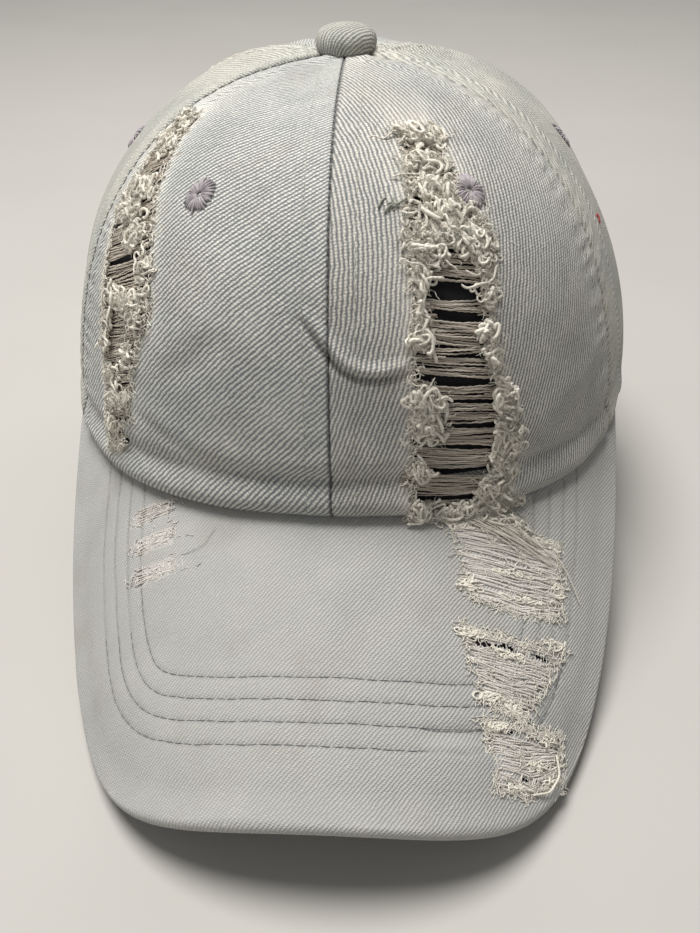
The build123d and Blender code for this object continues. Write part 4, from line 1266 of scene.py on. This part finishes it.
roll, roll_uv = [], []
for phi in np.linspace(0, pi, ROLL_STEPS + 1)[1:]:
    bulge = HALF_VISOR * sin(phi)
    lip = 0.5 if phi < pi / 2 else 0.5 * sin(phi)
    depth = lip * abs(cos(phi / 2)) - HALF_VISOR * (1 - cos(phi))
    roll.append(on_visor(edge_u + out_u * bulge, edge_v + out_v * bulge, depth))
    roll_uv.append(np.stack([edge_u + out_u * HALF_VISOR * phi, edge_v + out_v * HALF_VISOR * phi], axis=-1))
points = np.concatenate([on_visor(U, V, relief), np.stack(roll)])
uv = np.concatenate([np.stack([U, V], axis=-1), np.stack(roll_uv)]) / 10 * (1, -1)
pad = np.zeros((ROLL_STEPS, COLS))
from_wall = share * 67  # about the mm from the crown's wall
# dim darkens the visor: painted shade beside the crown's wall, and painted shade in the grooves along the
# stitch rows.
dim = 0.55 * np.exp(-from_wall / 1.2) + np.exp(-((row_gap / 0.5) ** 2)) * 0.3
visor = sheet_mesh(
    "visor_cloth", points, uv, DENIM_VISOR,
    keep=np.concatenate([outside(cut), np.ones((ROLL_STEPS, COLS - 1), bool)]),
    values={
        "worn": np.concatenate([worn, pad + 0.25]),
        "seam": np.concatenate([0.1 * np.exp(-from_wall / 8) + 0 * U, pad]),
        "dim": np.clip(np.concatenate([dim, pad]), 0, 1),
    },
)
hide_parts("visor_top_cover")

# the lining just below the top cover, seen through its slits; its dark colour is partly painted shade inside
# the narrow slits
u, v = U[4:-4, 4:-4], V[4:-4, 4:-4]
lining = sheet_mesh("visor_lining", on_visor(u, v, -1.0), np.stack([u, v], axis=-1) / 10, SLIT_CLOTH)
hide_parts("visor_board")

u, v = from_root(np.linspace(-0.02, 1, 70)[:, None])
points = on_visor(u, v, -VISOR_THICK + 0.12 + 0.15 * waves(u, v, 6, 22, 60, 95))
uv = np.stack([u, -v], axis=-1) / 10
under = sheet_mesh("visor_under", points, uv, DENIM_VISOR, values=cloth_values(points), flip=True)
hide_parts("visor_under_cover")

# four rows of stitches follow the outline; along the visor's sides their thread is faded
SIDE_FROM_U, SIDE_TO_V = 50, 22
rows, side_rows, under_rows = [], [], []
for line in stitch_lines:
    u, v = line.T
    here = on_visor(u, v, visor_swell(u, v) - 0.08)
    above = on_visor(u, v, 1.0) - on_visor(u, v)
    side = (np.abs(u) > SIDE_FROM_U) & (v < SIDE_TO_V)
    for part in (side & (u < 0), side & (u > 0)):
        if part.sum() > 8:
            side_rows.append((here[part], above[part]))
    rows.append((here[~side], above[~side]))
    under_rows.append((on_visor(u, v, -VISOR_THICK + 0.02), -above))
stitches("visor_thread", rows, GREY_THREAD, pitch=2.6, gap=0.06, radius=0.1, rise=0.1)
stitches("visor_thread_sides", side_rows, PALE_THREAD, pitch=2.6, gap=0.06, radius=0.1, rise=0.09)
stitches("visor_thread_under", under_rows, DARK_THREAD, pitch=2.5, radius=0.2)


# worn patches: weft lying across, frayed edges
def visor_curls(u0, v0, count, spread, lengths, curl, lift):
    a, b, h = curl_plane(count, spread, lengths, curl, lift)
    return on_visor(u0 + a, v0 - b, h + 0.1)


def clear_of_slits(spots):
    """Moves the points of a thread out of the slits, to the nearer side."""
    for (a0, b0), (a1, b1), width in SLITS:
        signed, along = line_distance(spots[:, 0], spots[:, 1], [(a0, b0), (a1, b1)])
        near = (np.abs(signed) < width + 0.25) & (along > 0.02) & (along < 0.98)
        way = np.where(spots[:, 1] > b0 + (spots[:, 0] - a0) * (b1 - b0) / (a1 - a0), 1, -1)
        spots[:, 1] += np.where(near, way * (width + 0.3 - np.abs(signed)), 0)
    return spots


paths, widths, ends, end_widths = [], [], [], []
STEPS = 36
for patch in PATCHES:
    upper, lower = patch
    count = int(np.linalg.norm(np.subtract(lower[0], upper[0])) / 0.36)
    for k in range(count):
        lo, hi = sorted((rng.uniform(-0.06, 0.1), rng.uniform(0.86, 1.05)))
        spots = patch_point(patch, np.linspace(lo, hi, STEPS), np.full(STEPS, (k + 0.5) / count))
        spots[:, 1] += 0.3 * np.sin(np.linspace(0, pi * rng.uniform(1, 4), STEPS) + rng.uniform(0, 6))
        spots[:, 1] += rng.normal(0, 0.12)
        out = 0.09 * np.sin(np.linspace(0, pi * rng.uniform(2, 7), STEPS) + rng.uniform(0, 6))
        spots = clear_of_slits(spots)
        paths.append(on_visor(spots[:, 0], spots[:, 1], out))
        widths.append(rng.uniform(0.15, 0.22))
    # frayed ends along the upper and lower edges, then along both sides
    edges = [(s, t, 6 - 2 * t, (2.0, 1.2), 3.0, 0.22, 0.09) for s in np.linspace(0, 1, 22) for t in (0, 1)]
    edges += [(s, t, 4, (1.4, 1.8), 3.2, 0.25, 0.1) for t in np.linspace(0, 1, 12) for s in (0, 1)]
    for s, t, n, spread, longest, lift, width in edges:
        ends.append(visor_curls(*patch_point(patch, s, t), n, spread, (1.2, longest), 0.3, lift))
        end_widths.append(width)
    # short broken fibres all over the worn cloth
    for _ in range(110):
        spot = patch_point(patch, rng.uniform(0, 1), rng.uniform(0, 1))
        ends.append(visor_curls(*spot, 2, (1.5, 1.5), (1.0, 2.8), 0.4, 0.1))
        end_widths.append(rng.uniform(0.05, 0.09))
tubes("visor_weft", [np.stack(paths)], [np.array(widths)], VISOR_WEFT)

# low tufts, as (u, v, number of loops, spread)
VISOR_TUFTS = [
    (34, 23, 16, (5, 3)), (42, 26.5, 14, (8, 2)), (57, 21.5, 12, (5, 2)), (38, 37, 12, (5, 2)),
    (45, 39, 8, (5, 2)), (40, 43, 10, (5, 2)), (55, 44, 8, (5, 2)), (52, 50, 14, (4, 3)),
    (58, 53, 10, (4, 3)), (46, 55, 8, (4, 2)), (31, -3, 14, (6, 3)), (44, -3.5, 12, (8, 2)),
    (55, -3, 10, (7, 2)), (33, 12, 8, (3, 4)), (59, 8, 10, (2, 6)), (47, 7, 8, (10, 2)), (50, 13, 8, (8, 2)),
]
for u0, v0, n, spread in VISOR_TUFTS:
    a, b, h = tuft_plane(n * 2, spread, 0.3)
    ends.append(on_visor(u0 + a * 0.9, v0 - b * 0.4, h * 0.4 + 0.1))
    end_widths.append(rng.uniform(0.14, 0.26, n * 2))
tubes("visor_fray", ends, end_widths, FRAY, sides=5)

paths, widths = [], []
for (a0, b0), (a1, b1) in LEFT_RIPS:
    for k in range(-3, 4):
        s = np.linspace(rng.uniform(-0.02, 0.1), rng.uniform(0.88, 1.03), 18)
        sway = 0.18 * np.sin(s * rng.uniform(4, 9) + rng.uniform(0, 6))
        out = 0.05 + 0.12 * np.sin(s * rng.uniform(6, 14))
        paths.append(on_visor(a0 + (a1 - a0) * s, b0 + (b1 - b0) * s + k * 0.62 + sway, out))
        widths.append(rng.uniform(0.15, 0.22))
tubes("visor_weft_left", [np.stack(paths)], [np.array(widths)], VISOR_WEFT)
ends = [visor_curls(a, b, 10, (2.2, 2.5), (1.5, 3.5), 0.3, 0.3) for line in LEFT_RIPS for a, b in line]
middles = [np.mean(line, axis=0) for line in LEFT_RIPS]
ends += [visor_curls(u, v, 26, (9, 2.6), (1.2, 3.0), 0.3, 0.15) for u, v in middles]
tubes("visor_fray_left", ends, [0.1] * len(ends), VISOR_WEFT, sides=4)

# loops at the foot of the worn place of the crown, and yarns pulled down side by side over the visor
fringe, fringe_widths = [], []
FRINGE_TUFTS = [(19, -10, 30, (9, 3)), (27, -9.5, 34, (9, 3)), (35, -8, 34, (9, 3)), (43, -6, 22, (7, 3))]
for u0, v0, n, spread in FRINGE_TUFTS:
    a, b, h = tuft_plane(n, spread, 1.2)
    fringe.append(on_visor(u0 + a, v0 - b * 0.8, h + 0.15))
    fringe_widths.append(rng.uniform(0.16, 0.3, n))
    fringe.append(visor_curls(u0, v0, n * 3, (spread[0] * 1.2, spread[1] * 1.3), (1.5, 4.5), 0.4, 1.2))
    fringe_widths.append(rng.uniform(0.04, 0.08, n * 3))
t = np.linspace(0, 1, 24)
for k in range(16):
    u = 26 + 0.315 * k + t * (25 + rng.normal(0, 2.5))
    v = -11 + k * 0.42 + t * (7.5 + rng.normal(0, 0.7)) + 0.35 * np.sin(t * rng.uniform(3, 8) + k)
    fringe.append(on_visor(u, v, 0.35 + 0.5 * np.sin(pi * t * rng.uniform(0.8, 1.3))))
    fringe_widths.append(rng.uniform(0.14, 0.2))
tubes("rim_fringe", fringe, fringe_widths, FRAY, sides=5)


def free_thread(points, count=40):
    """A smooth line through a few (u, v, height) points of the visor."""
    points = np.array(points, float)
    t = np.linspace(0, len(points) - 1, count)
    k = np.arange(len(points))
    smooth = np.stack([np.interp(t, k, points[:, c]) for c in range(3)], axis=-1)
    for _ in range(12):
        smooth[1:-1] = (smooth[:-2] + 2 * smooth[1:-1] + smooth[2:]) / 4
    return on_visor(smooth[:, 0], smooth[:, 1], smooth[:, 2])


dark_end = free_thread([(-38, 5.5, 0.2), (-35, 5.2, 0.5), (-31, 3.6, 0.5), (-28.6, -0.6, 0.2)])
pale_ends = [
    free_thread([(54, -1, 0.4), (58, 0.5, 1.2), (62, 4.5, 1.0), (66.5, 10, 0.4)]),
    free_thread([(50, 56, 0.4), (55, 55, 1.3), (58.5, 51, 1.4), (58, 46.5, 0.6)]),
]
tubes("loose_dark", [dark_end], [0.06], PALE_THREAD)
tubes("loose_pale", pale_ends, [0.17, 0.28], FRAY)


# ---------------------------------------------------------------- strap, tab and buckle
def arc_place(run, depth, z):
    """A place on the strap's arc: run in degrees along it, depth in mm towards its centre."""
    run, depth, z = together(run, depth, z)
    r = ARC_R - depth
    return np.stack([r * np.sin(np.radians(run)), ARC_CENTRE_Y + r * np.cos(np.radians(run)), z], axis=-1)


def band_section(outer, inner, width):
    """The rounded outline of a folded strip, as (depth, height), with a stitch groove near each edge."""
    mid, room = (outer + inner) / 2, (inner - outer) / 2
    straight = width / 2 - room
    across, bends = np.linspace(-1, 1, 15), np.linspace(0, pi, 6)[1:-1]
    loop = [(mid - room * (0.9 - 0.25 * (abs(abs(k) - 0.78) < 0.08)), k * straight) for k in across]
    loop += [(mid - room * cos(t), straight + room * sin(t)) for t in bends]
    loop += [(mid + room * 0.9, k * straight) for k in across[::-1]]
    loop += [(mid + room * cos(t), -straight - room * sin(t)) for t in bends]
    return np.array(loop)


def cloth_band(name, start, end, outer, inner, width, body, node):
    """A folded strip with rounded edges, as a closed skin, and a stitch row along both edges."""
    loop = band_section(outer, inner, width)
    mid = (outer + inner) / 2
    run = np.linspace(start, end, 110)
    wave = 0.08 * waves(run * 1.3, 0 * run, 4, 8, 24, 120)
    points = np.stack([arc_place(run, d + wave * (d < mid), STRAP_MID_Z + h) for d, h in loop], axis=1)
    first, last = (end.mean(axis=1, keepdims=True) + 0 * end for end in (points[:1], points[-1:]))
    points = np.concatenate([first, points, last])
    walked = np.append(0, np.cumsum(np.hypot(*np.diff(loop, axis=0).T)))
    uv = flat_uv(np.concatenate([run[:1], run, run[-1:]]) * 1.3, walked, "ij")
    faces = grid_faces(len(points), len(loop), wrap=True)
    piece = mesh_from(name, points, faces, uv, DENIM_TRIM, body, cloth_values(points, worn=0.1, seam=0.2))
    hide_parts(node)
    outward = arc_place(run, 0, 0) - arc_place(run, 1, 0)
    reach = width / 2 - 2.6
    rows = [(arc_place(run, outer + 0.02, STRAP_MID_Z + h), outward) for h in (-reach, reach)]
    stitches(name + "_thread", rows, PALE_THREAD, body, pitch=2.8, radius=0.18)


cloth_band("strap_cloth", -36, 31.5, 4.2, 5.2, 20.0, "strap", "adjuster_strap")
cloth_band("tab_cloth", 20.6, 38, 2.9, 3.8, 19.0, "cap", "buckle_tab")

# the tab's end turns round the buckle's bar
BAR_RUN, BAR_DEPTH, LOOP_R, LOOP_HALF = 19.0, 1.8, 1.93, 9.4
turn = np.linspace(0, 2 * pi, 33)[:-1]
rings = []
for h in np.linspace(-LOOP_HALF, LOOP_HALF, 16):
    r = LOOP_R + 0.05 * cos(h * 1.3)
    ring = np.stack([r * np.cos(turn), r * np.sin(turn), 0 * turn], axis=-1)
    rings.append(arc_place(BAR_RUN, BAR_DEPTH, STRAP_MID_Z + h) + ring)
points = np.stack(rings)
uv = np.stack(np.meshgrid(np.linspace(0, 1.9, 16), turn * 0.2, indexing="ij"), axis=-1)
faces = grid_faces(16, 32, wrap=True, flip=True)
mesh_from("tab_loop", points, faces, uv, DENIM_TRIM, values=cloth_values(points, worn=0.3))

METAL = [(BRASS, ("buckle_frame", "buckle_pin", "buckle_lever")), (STEEL, ("button_rivet", "button_washer"))]
for finish, nodes in METAL:
    for node in nodes:
        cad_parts[node].data.materials.clear()
        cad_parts[node].data.materials.append(finish)

# ---------------------------------------------------------------- floor, light, camera
FLOOR_HALF, FLOOR_Z = 3, -0.0006
floor_mesh = bpy.data.meshes.new("floor")
corners = [(x * FLOOR_HALF, y * FLOOR_HALF, 0) for x, y in ((-1, -1), (1, -1), (1, 1), (-1, 1))]
floor_mesh.from_pydata(corners, [], [(0, 1, 2, 3)])
floor = bpy.data.objects.new("floor", floor_mesh)
scene.collection.objects.link(floor)
pale = Nodes("pale_floor")
pale.coloured(pale.noise(9.0, 3.0, pale.place()), srgb(176, 173, 168), srgb(186, 183, 178))
pale.set(Roughness=0.8)
floor.data.materials.append(pale.material)
floor.location.z = FLOOR_Z

world = bpy.data.worlds.new("studio")
scene.world = world
world.use_nodes = True
sky = world.node_tree.nodes["Background"]
sky.inputs["Color"].default_value = (0.98, 0.99, 1.0, 1)
sky.inputs["Strength"].default_value = 0.24


def area_light(name, place, target, size, power, colour=(1, 1, 1)):
    lamp = bpy.data.lights.new(name, "AREA")
    lamp.shape = "DISK"
    lamp.size = size
    lamp.energy = power
    lamp.color = colour
    holder = bpy.data.objects.new(name, lamp)
    holder.location = place
    holder.rotation_euler = (Vector(target) - Vector(place)).to_track_quat("-Z", "Y").to_euler()
    scene.collection.objects.link(holder)


area_light("top", (-0.16, 0.06, 1.1), (0, 0, 0.08), 0.55, 16.5, (1, 0.985, 0.96))
area_light("front_left", (-0.8, -0.9, 0.7), (0, -0.05, 0.06), 0.8, 1.3)
scene.view_settings.view_transform = "Standard"

# the camera stands in front, looks down at the cap and leans a little
CAMERA_PLACE, YAW, PITCH, ROLL, LENS = (0.014785, -0.247452, 0.19135), 0.066, 0.678, -0.024, 34.58
forward = Vector((-sin(YAW) * cos(PITCH), cos(YAW) * cos(PITCH), -sin(PITCH)))
right = Vector((cos(YAW), sin(YAW), 0))
up = right.cross(forward)
rolled = (right * cos(ROLL) + up * sin(ROLL), up * cos(ROLL) - right * sin(ROLL), -forward)
camera_data = bpy.data.cameras.new("camera")
camera_data.sensor_width = 36
camera_data.lens = LENS
camera_data.clip_start = 0.01
camera = bpy.data.objects.new("camera", camera_data)
camera.matrix_world = Matrix.Translation(CAMERA_PLACE) @ Matrix(rolled).transposed().to_4x4()
scene.collection.objects.link(camera)
scene.camera = camera
